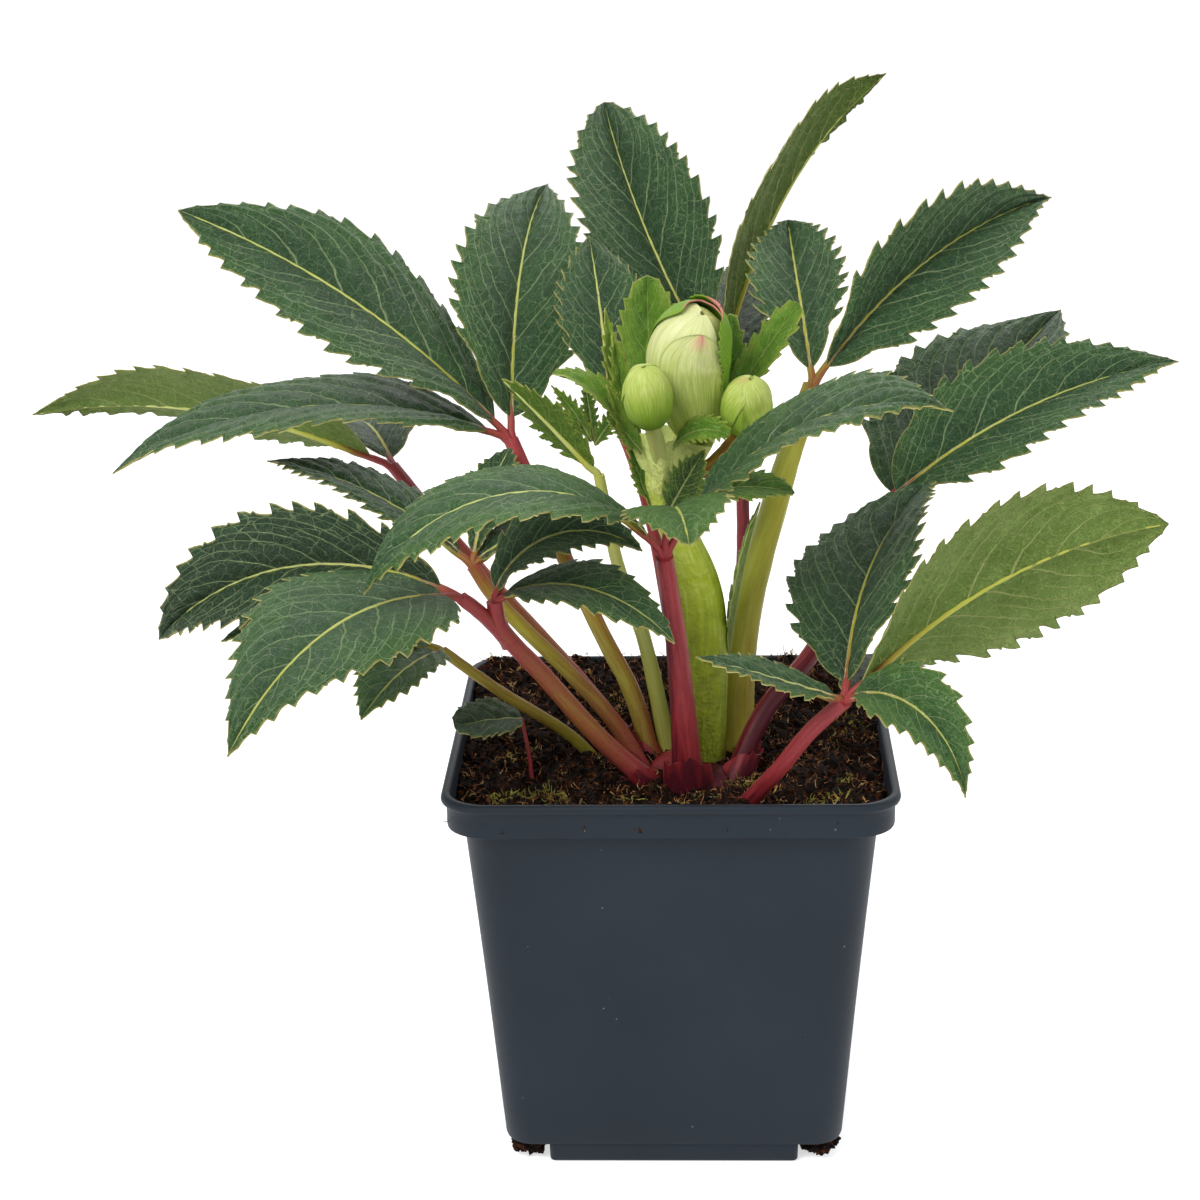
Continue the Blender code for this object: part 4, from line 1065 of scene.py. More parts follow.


# Each blade's green, from dark blue-green at 0 to light at 1: partly the leaf's own tone,
# and partly painted shade that darkens leaves lying in shadow.
SHADES = {"tall_left": (0.5, 0.55, 0.6), "far_left": (0.9, 0.2), "low_left": (0.55, 0.5),
          "low_left_fork": (0.6, 0.0), "mid_left": (0.35, 0.5, 0.5), "front": (0.7, 1.0, 0.6),
          "upper_right": (0.5, 0.5), "right": (0.4, 0.55),
          "low_right": (0.4, 0.85, 0.85, 0.6, 0.4),
          "low_back_left": (0.7, 0.7), "back": (0.5, 0.5, 0.4), "rear_left": (0.45,),
          "young": (0.25,)}
hubs = {name: stalk.route[-1] for name, stalk in STALKS.items()}
hubs["low_left_fork"] = FORK.route[-1]
seed = 0
for name, blades in LEAFLETS.items():
    for k, blade in enumerate(blades):
        seed += 1
        cut_as = LARGE if blade.length > LARGE_FROM else SMALL
        made = blade_object(f"{name}_leaf_{k + 1}", hubs[name], blade, cut_as, seed,
                            SHADES[name][k], BRACT_SKINS if name == "young" else LEAF_SKINS)
        seat(made, "leaf", f"{name}_leaflet_{k + 1}")


# ---------------------------------------------------------------- Crown
# The crown is a woody knob of old rootstock, half sunk in the compost. All the stalks but
# the low back left one stand in a clasping sheath, the widened wine-red base that each was
# folded in before it grew.

CROWN_Z = 107.0
CROWN_RADII = (19.0, 18.0, 13.0)
KNOB_RINGS = 26
KNOB_SIDES = 72
KNOB_LUMP = 1.6
KNOB_RADIUS = 14
SHEATH_ROWS = 12
SHEATH_COLUMNS = 18
SHEATH_STEPS = 12
SHEATH_THICKNESS = 0.5
SHEATH_HALF_TURN = 125
# How tall each stalk's sheath stands.
CLASPED = {"tall_left": 11, "far_left": 9, "low_left": 9, "mid_left": 10, "front": 13,
           "upper_right": 15, "right": 12, "low_right": 8, "back": 10, "rear_left": 9, "young": 12}


def paint_rind(item, around, run, blush):
    """Give a mesh the attributes that the stalk rind is drawn from."""
    for label, values in (("around", around), ("run", run), ("blush", blush)):
        give(item.data, label, values)


knob_rings, knob_around, knob_run, knob_blush = [], [], [], []
for k in range(KNOB_RINGS + 1):
    dip = math.pi * (0.04 + 0.92 * k / KNOB_RINGS)
    ring = []
    for j in range(KNOB_SIDES):
        turn = math.tau * j / KNOB_SIDES
        ray = ray_at(dip, turn)
        lump = KNOB_LUMP / CROWN_RADII[0] * abs(noise.noise(ray * 5.5))
        swell = 1 + 0.09 * noise.noise(ray * 2.2) - lump
        ring.append((CROWN_X + CROWN_RADII[0] * ray.x * swell,
                     CROWN_Y + CROWN_RADII[1] * ray.y * swell,
                     CROWN_Z + CROWN_RADII[2] * ray.z * swell))
        knob_around.append((math.cos(turn), math.sin(turn), 0))
        knob_run.append(dip * KNOB_RADIUS * MM)
        knob_blush.append(0.97 + 0.06 * noise.noise(ray * 4))
    knob_rings.append(ring)
knob = mesh_object("crown_knob", *loft(knob_rings), [stalk_skin])
paint_rind(knob, knob_around, knob_run, knob_blush)
seat(knob, "crown", "crown")


def clasping_sheath(name, stalk, height):
    """Open scale round the outer side of a stalk's foot, with a ragged upper edge."""
    line = smooth_route(stalk.route, SHEATH_STEPS)
    level = np.linspace(0.0, height + 4.0, SHEATH_ROWS + 1)
    middle = read_off(level, run_length(line), line)
    axis = middle[-1] - middle[0]
    axis /= np.linalg.norm(axis)
    outward = middle[0] - np.array([CROWN_X, CROWN_Y, middle[0][2]]) + np.array([0.0, -0.5, 0.0])
    outward -= axis * (outward @ axis)
    outward /= np.linalg.norm(outward)
    sideways = np.cross(axis, outward)
    rng = np.random.default_rng(int(height * 7 + stalk.foot * 100))
    ragged = rng.uniform(0.8, 1.0, SHEATH_COLUMNS + 1)
    top = np.zeros((SHEATH_ROWS + 1, SHEATH_COLUMNS + 1, 3))
    under = np.zeros_like(top)
    around = np.zeros_like(top)
    for j in range(SHEATH_COLUMNS + 1):
        q = 2 * j / SHEATH_COLUMNS - 1
        angle = q * math.radians(SHEATH_HALF_TURN)
        ray = outward * math.cos(angle) + sideways * math.sin(angle)
        tall = (1 - 0.55 * q * q) * ragged[j]
        for i in range(SHEATH_ROWS + 1):
            up = i / SHEATH_ROWS
            girth = stalk.foot * (1.28 - 0.14 * up) + 0.5 + 0.25 * math.sin(5 * angle)
            place = middle[0] + (middle[-1] - middle[0]) * up * tall
            top[i, j] = place + ray * (girth + SHEATH_THICKNESS)
            under[i, j] = place + ray * girth
            around[i, j] = (math.cos(angle), math.sin(angle), 0)
    share = np.repeat(np.linspace(0, 1, SHEATH_ROWS + 1), SHEATH_COLUMNS + 1)
    share = share.reshape(top.shape[:2])
    return closed_shell(name, top, under, [stalk_skin], {
        "around": around, "run": share * height * MM, "blush": 0.99 - 0.12 * share}, sharp=60)


for name, height in CLASPED.items():
    seat(clasping_sheath(f"{name}_sheath", STALKS[name], height), "crown")


# ---------------------------------------------------------------- Flower stem
# One thick fleshy stem, round and faintly ribbed low down. Under the buds it narrows and
# then flares into a cream-green collar, pleated where the bases of the bracts run into it.

STEM_ROUTE = [(9, -20, 112), (10, -20, 150), (8, -21, 172), (-1.5, -23, 197), (-0.5, -24, 206),
              (0, -24, 213)]
STEM_RADII = [6.6, 6.6, 6.2, 4.0, 6.6, 10.6]
STEM_SIDES = 96
STEM_STEPS = 16
STEM_SMOOTHING = 6
PLEATS = 5
PLEAT_FROM = 2.6
PLEAT_RUN = 2.4
COLLAR_FLANK = 3.2
COLLAR_LOBE = 2.4
LOBE_FROM = 4.2
LOBE_RUN = 0.8
PEDICELS = {
    "left": ([(-0.8, -25, 203), (-2.4, -32.5, 213), (-4.3, -38.9, 222.9)], 0.02),
    "right": ([(2, -24, 204), (12, -28, 208), (20.3, -31.5, 217.8)], 0.4)}
PEDICEL_RADIUS = 2.3

# Stem skin: juicy rind that pales from olive green to cream at the collar. Streaks 1 mm
# wide run up it between soft 4 mm blotches, and fine pores 1 mm apart dimple it.
stem_skin, tree = new_material("flower_stem_rind")
around = add(tree, "ShaderNodeAttribute", attribute_name="around").outputs["Vector"]
run = add(tree, "ShaderNodeAttribute", attribute_name="run").outputs["Fac"]
reach = add(tree, "ShaderNodeAttribute", attribute_name="reach").outputs["Fac"]
turned = add(tree, "ShaderNodeVectorMath", {0: around, "Scale": 3.6}, operation="SCALE")
lengthwise = add(tree, "ShaderNodeMath", {0: run, 1: 45.0}, operation="MULTIPLY")
lift = add(tree, "ShaderNodeCombineXYZ", {2: lengthwise})
grain = add(tree, "ShaderNodeVectorMath", {0: turned, 1: lift}, operation="ADD")
streaks = add(tree, "ShaderNodeTexNoise", {
    "Vector": grain, "Scale": 1.8, "Detail": 5, "Roughness": 0.6})
drift = add(tree, "ShaderNodeMapRange", {0: streaks, 1: 0.3, 2: 0.7, 3: -0.14, 4: 0.14})
level = add(tree, "ShaderNodeMath", {0: reach, 1: drift}, operation="ADD")
place = add(tree, "ShaderNodeTexCoord").outputs["Object"]
blotch = add(tree, "ShaderNodeTexNoise", {
    "Vector": place, "Scale": 260, "Detail": 4, "Roughness": 0.6})
patches = add(tree, "ShaderNodeMapRange", {0: blotch, 1: 0.3, 2: 0.7, 3: -0.16, 4: 0.16})
level = add(tree, "ShaderNodeMath", {0: level, 1: patches}, operation="ADD")
tint = add(tree, "ShaderNodeValToRGB", {0: level}, stops=[
    (0.0, "#84922a"), (0.35, "#a3b528"), (0.62, "#bcc95a"), (0.8, "#d6e088"), (1.0, "#cfda80")])
pores = add(tree, "ShaderNodeTexVoronoi", {"Vector": place, "Scale": 900, "Randomness": 1.0})
height = add(tree, "ShaderNodeMath", {0: blotch, 1: 1.5, 2: streaks}, operation="MULTIPLY_ADD")
height = add(tree, "ShaderNodeMath", {0: pores, 1: 0.4, 2: height}, operation="MULTIPLY_ADD")
bump = add(tree, "ShaderNodeBump", {"Height": height, "Strength": 0.7, "Distance": 0.0009})
dull = add(tree, "ShaderNodeMapRange", {0: streaks, 3: 0.36, 4: 0.54})
shader = add(tree, "ShaderNodeBsdfPrincipled", {
    "Base Color": tint, "Roughness": dull, "Normal": bump, "IOR": 1.42,
    "Specular IOR Level": 0.35})
add(tree, "ShaderNodeOutputMaterial", {0: shader})

line = smooth_route(STEM_ROUTE, STEM_STEPS)
spots = np.linspace(0, len(STEM_RADII) - 1, len(line)).tolist()
radii = np.interp(spots, range(len(STEM_RADII)), STEM_RADII)
window = 2 * STEM_SMOOTHING + 1
radii = np.convolve(np.pad(radii, STEM_SMOOTHING, mode="edge"), np.ones(window) / window,
                    mode="valid")
stem_rings, stem_around = [], []
for k, centre in enumerate(line):
    ahead = Vector(line[min(k + 1, len(line) - 1)] - line[max(k - 1, 0)]).normalized()
    across = Vector((1, 0, 0))
    across = (across - ahead * across.dot(ahead)).normalized()
    other = ahead.cross(across)
    pleat = max(0.0, (spots[k] - PLEAT_FROM) / PLEAT_RUN) ** 1.5
    ring = []
    for j in range(STEM_SIDES):
        turn = math.tau * j / STEM_SIDES
        fold = (0.19 * math.cos(PLEATS * turn + 0.6 + 0.5 * spots[k])
                + 0.07 * math.cos(11 * turn + 1.5 * spots[k]))
        crease = noise.noise((2 * math.cos(turn), 2 * math.sin(turn), 0.7 * spots[k]))
        flank = COLLAR_FLANK * pleat * max(0.0, math.cos(turn))
        wide = 1 + 0.018 * math.cos(7 * turn) + pleat * (fold + 0.12 * crease)
        wide = float(radii[k]) * wide + flank
        lobe = COLLAR_LOBE * max(0.0, (spots[k] - LOBE_FROM) / LOBE_RUN) ** 1.5
        lobe *= 1.4 + 0.35 * math.cos(5 * turn + 1.3) + 0.8 * crease
        ray = across * math.cos(turn) + other * math.sin(turn)
        ring.append(tuple(Vector(centre) + wide * ray + ahead * lobe))
        stem_around.append((math.cos(turn), math.sin(turn), 0))
    stem_rings.append(ring)
# the collar's mouth: its last ring, drawn in and sunk step by step
MOUTH = ((0.93, -0.3), (0.8, 0.6), (0.5, 1.2), (0.15, 1.4))
lip, middle = stem_rings[-1], Vector(line[-1])
for share, drop in MOUTH:
    stem_rings.append([tuple(middle + (Vector(p) - middle) * share - Vector((0, 0, drop)))
                       for p in lip])
    stem_around += stem_around[-STEM_SIDES:]
stem = mesh_object("flower_stem_and_collar", *loft(stem_rings), [stem_skin])
stem_run, stem_reach = [
    np.repeat(np.pad(values, (0, len(MOUTH)), mode="edge"), STEM_SIDES)
    for values in (run_length(line), np.array(spots) / spots[-1])]
paint_rind(stem, stem_around, stem_run * MM, np.zeros(len(stem_run)))
give(stem.data, "reach", stem_reach)
seat(stem, "flower_stem", "flower_stem")

for name, (route, blush) in PEDICELS.items():
    strand = stalk_strand(Stalk(PEDICEL_RADIUS, PEDICEL_RADIUS, route, (blush, blush)))
    made = fleshy(f"{name}_pedicel", [strand], sides=20, ribs=0.05, rib_count=5.0,
                  wrinkle=0.0006, wrinkle_scale=400.0)
    seat(made, "flower_stem")


# ---------------------------------------------------------------- Buds
# Three flower buds, each a tight egg of waxy sepals that overlap in a spiral; the main one nods.
# The main one is half open: a tongue-shaped sepal laps up its front, and the two outer
# sepals stand behind it as a green hood with a pink-touched edge.

Bud = namedtuple("Bud", "base direction nod length radius belly neck")
BUDS = {
    "main_bud": Bud((8.1, -25.5, 212.2), (-0.12, -0.02, 1), (0.35, -0.42, 0.84),
                    41, 9.9, 0.68, 0.6),
    "left_bud": Bud((-4.5, -39.4, 223.8), (-0.1, -0.4, 1), (-0.1, -0.4, 1), 17.4, 6.2, 0.46, 0.3),
    "right_bud": Bud((21.0, -32.1, 218.8), (0.12, -0.35, 1), (0.12, -0.35, 1),
                     16.6, 6.3, 0.5, 0.3)}
SEPAL_ROWS = 64
SEPAL_COLUMNS = 14
SEPAL_THICKNESS = 0.35
SEPAL_WRAP = 1.75
NOD_FROM = 0.45
NOD_OVER = 0.45
NOD_STEPS = 67
BLUNT = 0.42
CORE_RINGS = 33
CORE_SIDES = 48

# Sepal skin: cream shot with green, pale, waxy and satin. Veins 1 to 2 mm apart fan from
# the base to the tip. "petal" is the share across, the share along and the
# millimetres in from the margin; "tint" is how green, how pink and the sepal's own number.
sepal_skin, tree = new_material("waxy_sepal")
petal = add(tree, "ShaderNodeAttribute", attribute_name="petal").outputs["Vector"]
own = add(tree, "ShaderNodeAttribute", attribute_name="tint").outputs["Vector"]
petal_parts = add(tree, "ShaderNodeSeparateXYZ", {0: petal})
own_parts = add(tree, "ShaderNodeSeparateXYZ", {0: own})
reach = petal_parts.outputs["Y"]
fan = add(tree, "ShaderNodeMath", {0: petal_parts.outputs["X"], 1: 8.0}, operation="MULTIPLY")
rise = add(tree, "ShaderNodeMath", {0: reach, 1: 1.6}, operation="MULTIPLY")
spot = add(tree, "ShaderNodeCombineXYZ", {0: fan, 1: rise, 2: own_parts.outputs["Z"]})
wander = add(tree, "ShaderNodeTexNoise", {"Vector": spot, "Scale": 1.2, "Detail": 3})
wander = add(tree, "ShaderNodeMapRange", {0: wander, 3: -0.8, 4: 0.8})
ray = add(tree, "ShaderNodeMath", {0: fan, 1: wander}, operation="ADD")
ray = add(tree, "ShaderNodeMath", {0: ray, 1: 0.5}, operation="PINGPONG")
vein = add(tree, "ShaderNodeMapRange", {0: ray, 1: 0.02, 2: 0.14, 3: 1.0, 4: 0.0})
streaks = add(tree, "ShaderNodeTexNoise", {
    "Vector": spot, "Scale": 2.6, "Detail": 5, "Roughness": 0.65})
clear = add(tree, "ShaderNodeMapRange", {0: streaks, 1: 0.35, 2: 0.65, 3: 0.0, 4: 0.42})
vein = add(tree, "ShaderNodeMath", {0: vein, 1: clear}, operation="MULTIPLY")
low = add(tree, "ShaderNodeMapRange", {0: reach, 1: 0.05, 2: 0.6, 3: 0.45, 4: 0.0})
level = add(tree, "ShaderNodeMath", {0: own_parts.outputs["X"], 1: low}, operation="ADD")
drift = add(tree, "ShaderNodeMapRange", {0: streaks, 1: 0.3, 2: 0.7, 3: -0.2, 4: 0.2})
level = add(tree, "ShaderNodeMath", {0: level, 1: drift}, operation="ADD")
ground = add(tree, "ShaderNodeValToRGB", {0: level}, stops=[
    (0.0, "#dcdea6"), (0.25, "#c9d27f"), (0.55, "#a5b84c"), (0.78, "#86a834"), (1.0, "#6a9418")])
veined = add(tree, "ShaderNodeMix", {0: vein, 6: ground, 7: linear("#9dae54")}, data_type="RGBA")
patchy = add(tree, "ShaderNodeMapRange", {0: vein, 1: 0.0, 2: 0.35, 3: 0.4, 4: 1.0})
pink = add(tree, "ShaderNodeMath", {0: own_parts.outputs["Y"], 1: patchy}, operation="MULTIPLY")
flushed = add(tree, "ShaderNodeMix", {0: pink, 6: veined, 7: linear("#d3877f")}, data_type="RGBA")
# painted shade: a green band within 0.6 mm of each margin is partly the sepal's greener edge and
# partly shade along the seams where sepals overlap
edging = add(tree, "ShaderNodeMapRange", {
    0: petal_parts.outputs["Z"], 1: 0.0, 2: 0.6, 3: 0.65, 4: 0.0})
short = add(tree, "ShaderNodeMapRange", {0: reach, 1: 0.82, 2: 0.95, 3: 1.0, 4: 0.0})
edging = add(tree, "ShaderNodeMath", {0: edging, 1: short}, operation="MULTIPLY")
paint = add(tree, "ShaderNodeMix", {0: edging, 6: flushed, 7: linear("#84a03c")}, data_type="RGBA")
height = add(tree, "ShaderNodeMath", {0: streaks, 1: vein}, operation="ADD")
bump = add(tree, "ShaderNodeBump", {"Height": height, "Strength": 0.35, "Distance": 0.0003})
dull = add(tree, "ShaderNodeMapRange", {0: streaks, 3: 0.38, 4: 0.56})
shader = add(tree, "ShaderNodeBsdfPrincipled", {
    "Base Color": paint, "Roughness": dull, "Normal": bump, "IOR": 1.42,
    "Specular IOR Level": 0.35})
add(tree, "ShaderNodeOutputMaterial", {0: shader})

# Sepals: which bud, the turn of the middle from the front, first and last share of the
# height, half width, widest and fullness as for a blade, distance off the core, lift of
# the margin, how far it stands clear of the bud at its tip, green, pink and number of teeth.
Sepal = namedtuple("Sepal", "bud turn low high half widest full off curl swell green pink teeth")
SEPALS = [
    Sepal("main_bud", 180, 0.02, 0.9993, 18.0, 0.6, 0.5, 0.05, 0.2, 0.0, 0.20, 0.0, 0),
    Sepal("main_bud", 112, 0.02, 0.9995, 17.0, 0.6, 0.5, 0.3, 0.3, 0.0, 0.22, 0.2, 0),
    Sepal("main_bud", -48, 0.02, 0.9997, 18.0, 0.62, 0.5, 0.7, 0.45, 0.0, 0.06, 0.0, 0),
    Sepal("main_bud", 14, 0.02, 0.955, 9.5, 0.45, 0.95, 1.15, 0.5, 0.0, 0.14, 2.3, 0),
    Sepal("main_bud", 126, 0.03, 0.985, 14.8, 0.5, 0.75, 0.9, 0.6, 2.6, 1.0, 2.4, 13),
    Sepal("main_bud", -160, 0.03, 0.98, 13.0, 0.6, 0.75, 0.5, 0.3, 1.8, 0.95, 2.4, 0)]
for bud_name, start in (("left_bud", 150), ("right_bud", 205)):
    for step, spin in enumerate((0, 144, 288, 72, 216)):
        pink = 0.8 if bud_name == "right_bud" and step == 3 else 0.0
        SEPALS.append(Sepal(bud_name, start + spin, 0.02, 0.9994, 7.2, 0.5, 0.62,
                            0.05 + 0.14 * step, 0.12, 0.0, 0.44, pink, 0))


def core_radius(bud, t, swell=0.0):
    """Radius of a bud's core at a share of its height: drawn in below, round on top."""
    rest = 1 - bud.belly
    globe = (t / bud.belly) ** (BLUNT * bud.belly / rest) * ((1 - t) / rest) ** BLUNT
    neck = bud.neck * np.sin(np.pi * np.clip(t / 0.3, 0, 1) / 2) * np.clip((1 - t) / rest, 0, 1)
    return (bud.radius + swell) * (globe ** 4 + neck ** 4) ** 0.25


def bud_frames(bud, t):
    """Centre, axis, front and right of a bud at shares of its height; the top nods."""
    fine = np.linspace(0, 1.1, NOD_STEPS)
    nod = np.clip((fine - NOD_FROM) / NOD_OVER, 0, 1)[:, None]
    nod = nod * nod * (3 - 2 * nod)
    axis = np.array(bud.direction) * (1 - nod) + np.array(bud.nod) * nod
    axis /= np.linalg.norm(axis, axis=1)[:, None]
    centre = walked(bud.base, axis, bud.length * fine[1] / 2)
    right = np.cross((0, 1, 0), axis)
    right /= np.linalg.norm(right, axis=1)[:, None]
    front = np.cross(right, axis)
    return [read_off(t, fine, part) for part in (centre, axis, front, right)]


def sepal_shell(name, shape, seed):
    """Curved closed shell that hugs the core of its bud."""
    bud = BUDS[shape.bud]
    u = np.linspace(0, 1, SEPAL_ROWS + 1)
    t = shape.low + (shape.high - shape.low) * (1 - (1 - u) ** 1.8)
    centre, axis, front, right = bud_frames(bud, t)
    inside = np.clip(u, 1e-4, 1 - 1e-4)
    half = np.maximum(outline(shape.half, shape.widest, shape.full, inside), 0.25)
    if shape.teeth:
        saw = (u * shape.teeth) % 1.0
        half = half * (1 - 0.09 * (1 - saw) * np.clip(u * 6, 0, 1))
    core = core_radius(bud, np.clip(t, 0.0, 0.9998), 0.3 * shape.swell)
    slope = np.gradient(core, t * bud.length)
    lean = 1 / np.sqrt(1 + slope ** 2)
    spread = np.minimum(half / np.maximum(core, 1.5), SEPAL_WRAP)
    centre = centre + axis * (shape.swell * u ** 2)[:, None]
    count = 2 * SEPAL_COLUMNS + 1
    top = np.zeros((SEPAL_ROWS + 1, count, 3))
    under = np.zeros_like(top)
    petal = np.zeros_like(top)
    tint = np.zeros_like(top)
    for j in range(count):
        q = j / SEPAL_COLUMNS - 1
        angle = math.radians(shape.turn) + q * spread
        ray = np.cos(angle)[:, None] * front + np.sin(angle)[:, None] * right
        outward = ray * lean[:, None] - axis * (slope * lean)[:, None]
        ruck = (0.16 * np.sin(9 * q + 7 * u + seed) * np.sin(math.pi * u)
                + 0.25 * math.exp(-(q / 0.12) ** 2))
        off = shape.off + shape.curl * abs(q) ** 4 + shape.curl * 0.6 * u ** 8 + ruck
        under[:, j] = centre + ray * core[:, None] + outward * off[:, None]
        top[:, j] = under[:, j] + outward * SEPAL_THICKNESS
        margin = (1 - abs(q)) * half
        petal[:, j] = np.stack([np.full_like(u, q), u, np.minimum(margin, (1 - u) * bud.length)],
                               1)
        if shape.swell:
            flush = np.clip((u - 0.92) / 0.05, 0, 1)
            flush = shape.pink * flush * np.clip(1.5 - margin / 2.4, 0, 1)
        else:
            flush = shape.pink * np.clip((u - 0.72) / 0.2, 0, 1) * math.exp(-(q / 0.42) ** 2)
        tint[:, j] = np.stack([np.full_like(u, shape.green), flush, np.full_like(u, seed * 5.1)],
                              1)
    return closed_shell(name, top, under, [sepal_skin], {"petal": petal, "tint": tint}, sharp=60)


for name, bud in BUDS.items():
    heights = 1 - (1 - np.linspace(0.01, 0.985, CORE_RINGS)) ** 2
    turns = np.linspace(0, math.tau, CORE_SIDES, endpoint=False)
    rings = [[tuple(centre + core_radius(bud, t) * (math.cos(a) * right - math.sin(a) * front))
              for a in turns]
             for t, centre, _, front, right in zip(heights, *bud_frames(bud, heights))]
    core = mesh_object(f"{name}_core", *loft(rings), [sepal_skin])
    for label, value in (("tint", (0.15, 0.0, 2.0)), ("petal", (0.3, 0.5, 5.0))):
        give(core.data, label, [value] * len(core.data.vertices))
    seat(core, "bud", name)
for k, shape in enumerate(SEPALS):
    seat(sepal_shell(f"{shape.bud}_sepal_{k + 1}", shape, k + 1), "bud")


# ---------------------------------------------------------------- Bracts
# Small leafy bracts ring the buds: thinner and brighter green than the leaves, each with
# sharp yellow-tipped teeth. A few stand alone lower down, and one sheathes the stem.

BRACT = Cut(64, 11, 8, 1.5, 0.9, 6)
BRACT_GRAIN = 1.8
BRACT_SEED = 60
# Each bract's foot, its blade and its own green. The small ones stand for no CAD node.
BRACTS = {
    "upper_left_bract": ((-4, -13.2, 213), Blade(96, 42, -50, 0, 48, 20, 0, 0, 15, 0.6, 0.85),
                         0.6),
    "finger_bract": ((-10.8, -19.9, 213), Blade(166, 76, -8, 0, 39, 9, 50, 0, 15), 0.85),
    "left_bract": ((-11.3, -28.5, 213), Blade(188, 85, 75, 0, 33, 14, 40, -30, 15, 0.55, 0.8),
                   0.7),
    "right_bract": ((10.6, -20, 213), Blade(8, 58, 5, 0, 47, 12, -45, 0, 10, 0.68, 0.9), 0.6),
    "right_inner_bract": ((7.4, -15, 213), Blade(24, 43, -58, 0, 38, 9, -60, 0, 10, 0.65, 0.9),
                          0.5),
    "front_bract": ((1.5, -35.6, 214.6), Blade(-30, 62, 86, 10, 20, 10, -45, 0, 10, 0.6, 0.9),
                    0.6),
    "dark_bract": ((-0.5, -28.8, 194), Blade(-42, 58, 4, 0, 26, 12, -116, 0, 8, 0.48, 0.9), 0.0),
    "low_right_bract": ((3.6, -22.5, 196), Blade(4, 24, 42, 0, 33, 15, -25, 0, 10, 0.55, 0.9),
                        0.3),
    "sheath_bract": ((17.2, -20, 150), Blade(0, 84, 10, 0, 46, 12, 0, 0, 20), 0.9)}
SMALL_BRACTS = {
    "folded_bract": ((-8.5, -24, 214), Blade(160, 72, -10, 0, 32, 10, 60, 0, 30), 0.7),
    "inner_left_bract": ((-10.5, -29, 213), Blade(178, 76, 10, 0, 20, 8, 30, 0, 15), 0.8),
    "collar_leaf": ((-5.0, -25.5, 196), Blade(186, 66, -12, 0, 21, 8, 55, 0, 20), 0.4),
    "collar_frill": ((-7.5, -30, 212), Blade(176, 62, 30, 0, 14, 9, 30, 0, 8, 0.5, 0.9), 0.5),
    "tuft_leaf_1": ((-22, -15.5, 212), Blade(178, 66, 20, 0, 20, 6.5, 70, 0, 12), 0.5),
    "tuft_leaf_2": ((-21.4, -15, 212), Blade(172, 86, 8, 0, 19, 5.5, 80, 0, 12), 0.25),
    "tuft_leaf_3": ((-21, -15.8, 211), Blade(-4, 60, 16, 0, 17, 6.5, -70, 0, 12), 0.35)}
for k, (name, (base, blade, shade)) in enumerate([*BRACTS.items(), *SMALL_BRACTS.items()]):
    made = blade_object(f"{name}_blade", base, blade._replace(bare=0), BRACT, BRACT_SEED + 1 + k,
                        shade, BRACT_SKINS, BRACT_GRAIN)
    seat(made, "bract", *([name] if name in BRACTS else []))


# ---------------------------------------------------------------- Seedling leaf
# A small round leaf of a self-sown seedling on a thread of a stalk, low over the compost.

SEEDLING_ROUTE = [(-40, -30, 106), (-41, -30, 121), (-43, -29, 133)]
SEEDLING = Blade(195, 8, 20, 0, 20, 21, 14, 0, 5, 0.5, 0.45, 0)
SEEDLING_CUT = Cut(56, 12, 6, 1.6, 0.5, 4)
SEEDLING_SEED = 90
SEEDLING_SHADE = 0.35
made = blade_object("seedling_blade", SEEDLING_ROUTE[-1], SEEDLING, SEEDLING_CUT, SEEDLING_SEED,
                    SEEDLING_SHADE, LEAF_SKINS, BRACT_GRAIN)
seat(made, "leaf", "seedling_leaf")
strand = stalk_strand(Stalk(0.7, 0.5, SEEDLING_ROUTE, (0.95, 0.8)))
made = fleshy("seedling_stalk", [strand], sides=12, ribs=0.05, rib_count=4.0,
              wrinkle=0.0002, wrinkle_scale=400.0)
seat(made, "leaf")


# ---------------------------------------------------------------- Studio
# A plain pale floor that runs to the horizon, one broad soft lamp over the front left,
# weaker ones to the right and behind, and a camera a little above the leaves.

FLOOR_REACH = 6000
FLOOR_LEVEL = -0.2
CAMERA_AT = (8.5, -785.9, 413.0)
CAMERA_TURNS = ((2.14, "Z"), (72.14, "X"), (-0.99, "Z"))


def seen_rays(tree):
    """1 on rays that show the background, straight or by gloss or glass, and else 0."""
    ways = add(tree, "ShaderNodeLightPath").outputs
    seen = add(tree, "ShaderNodeMath", {0: ways["Is Camera Ray"], 1: ways["Is Glossy Ray"]},
               operation="ADD")
    return add(tree, "ShaderNodeMath", {0: seen, 1: ways["Is Transmission Ray"]},
               operation="ADD")


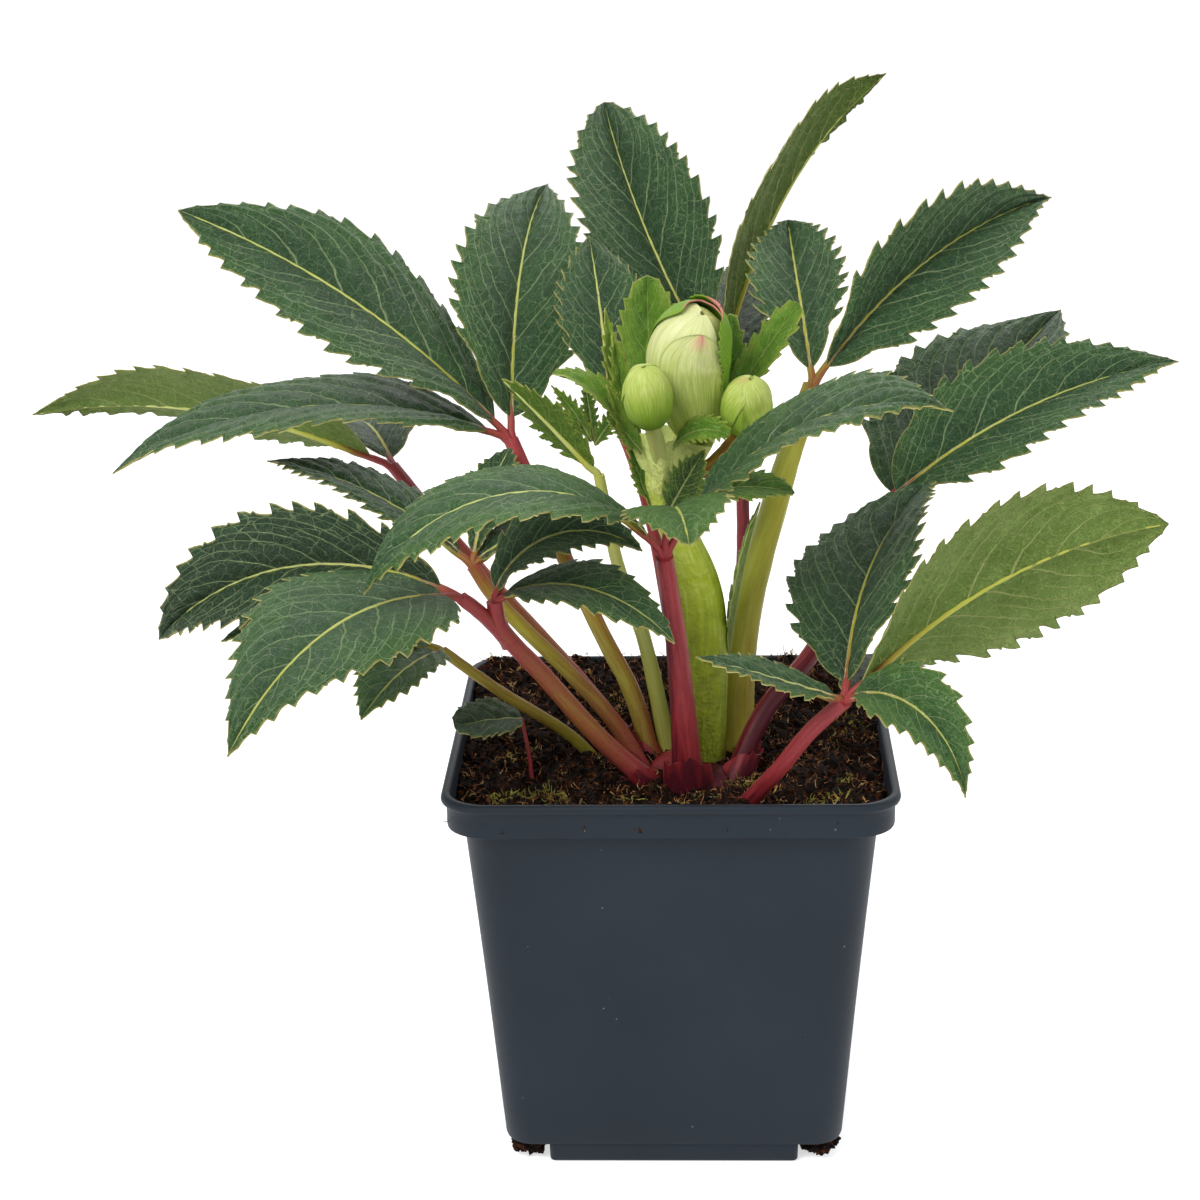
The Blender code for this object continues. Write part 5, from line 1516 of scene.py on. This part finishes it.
floor_paint, tree = new_material("pale_floor")
seen = seen_rays(tree)
lift = add(tree, "ShaderNodeMath", {0: seen, 1: 0.62}, operation="MULTIPLY")
matt = add(tree, "ShaderNodeBsdfDiffuse", {"Color": linear("#e6e6e6")})
glow = add(tree, "ShaderNodeEmission", {"Strength": lift})
both = add(tree, "ShaderNodeAddShader", {0: matt, 1: glow})
add(tree, "ShaderNodeOutputMaterial", {0: both})
floor = mesh_object("floor", [(sx * FLOOR_REACH, sy * FLOOR_REACH, FLOOR_LEVEL)
                              for sx, sy in CORNERS], [(0, 1, 2, 3)], [floor_paint])

world = bpy.data.worlds.new("studio_white")
bpy.context.scene.world = world
world.use_nodes = True
world.node_tree.nodes.clear()
tree = world.node_tree
strength = add(tree, "ShaderNodeMapRange", {0: seen_rays(tree), 3: 0.5, 4: 1.0})
sky = add(tree, "ShaderNodeBackground", {"Color": (1, 1, 1, 1), "Strength": strength})
add(tree, "ShaderNodeOutputWorld", {0: sky})


def lamp(name, at, aim, size, power):
    """Square soft lamp that faces a point."""
    light = bpy.data.lights.new(name, "AREA")
    light.size = size * MM
    light.energy = power
    item = placed(name, light)
    item.location = Vector(at) * MM
    item.rotation_euler = (Vector(aim) - Vector(at)).to_track_quat("-Z", "Y").to_euler()


lamp("key_softbox", (-650, -800, 1050), (0, 0, 150), size=700, power=13.0)
lamp("fill_softbox", (900, -500, 650), (0, 0, 150), size=800, power=3.5)
lamp("back_softbox", (200, 900, 900), (0, 0, 180), size=800, power=4.0)

camera = bpy.data.cameras.new("camera")
camera.lens = 83.7
camera.sensor_width = 36
camera.clip_start = 0.05
camera.clip_end = 50
view = placed("camera", camera)
view.location = Vector(CAMERA_AT) * MM
view.rotation_mode = "QUATERNION"
pan, tilt, roll = [Matrix.Rotation(math.radians(turn), 3, axis) for turn, axis in CAMERA_TURNS]
view.rotation_quaternion = (pan @ tilt @ roll).to_quaternion()
bpy.context.scene.camera = view
bpy.context.scene.view_settings.view_transform = "Standard"
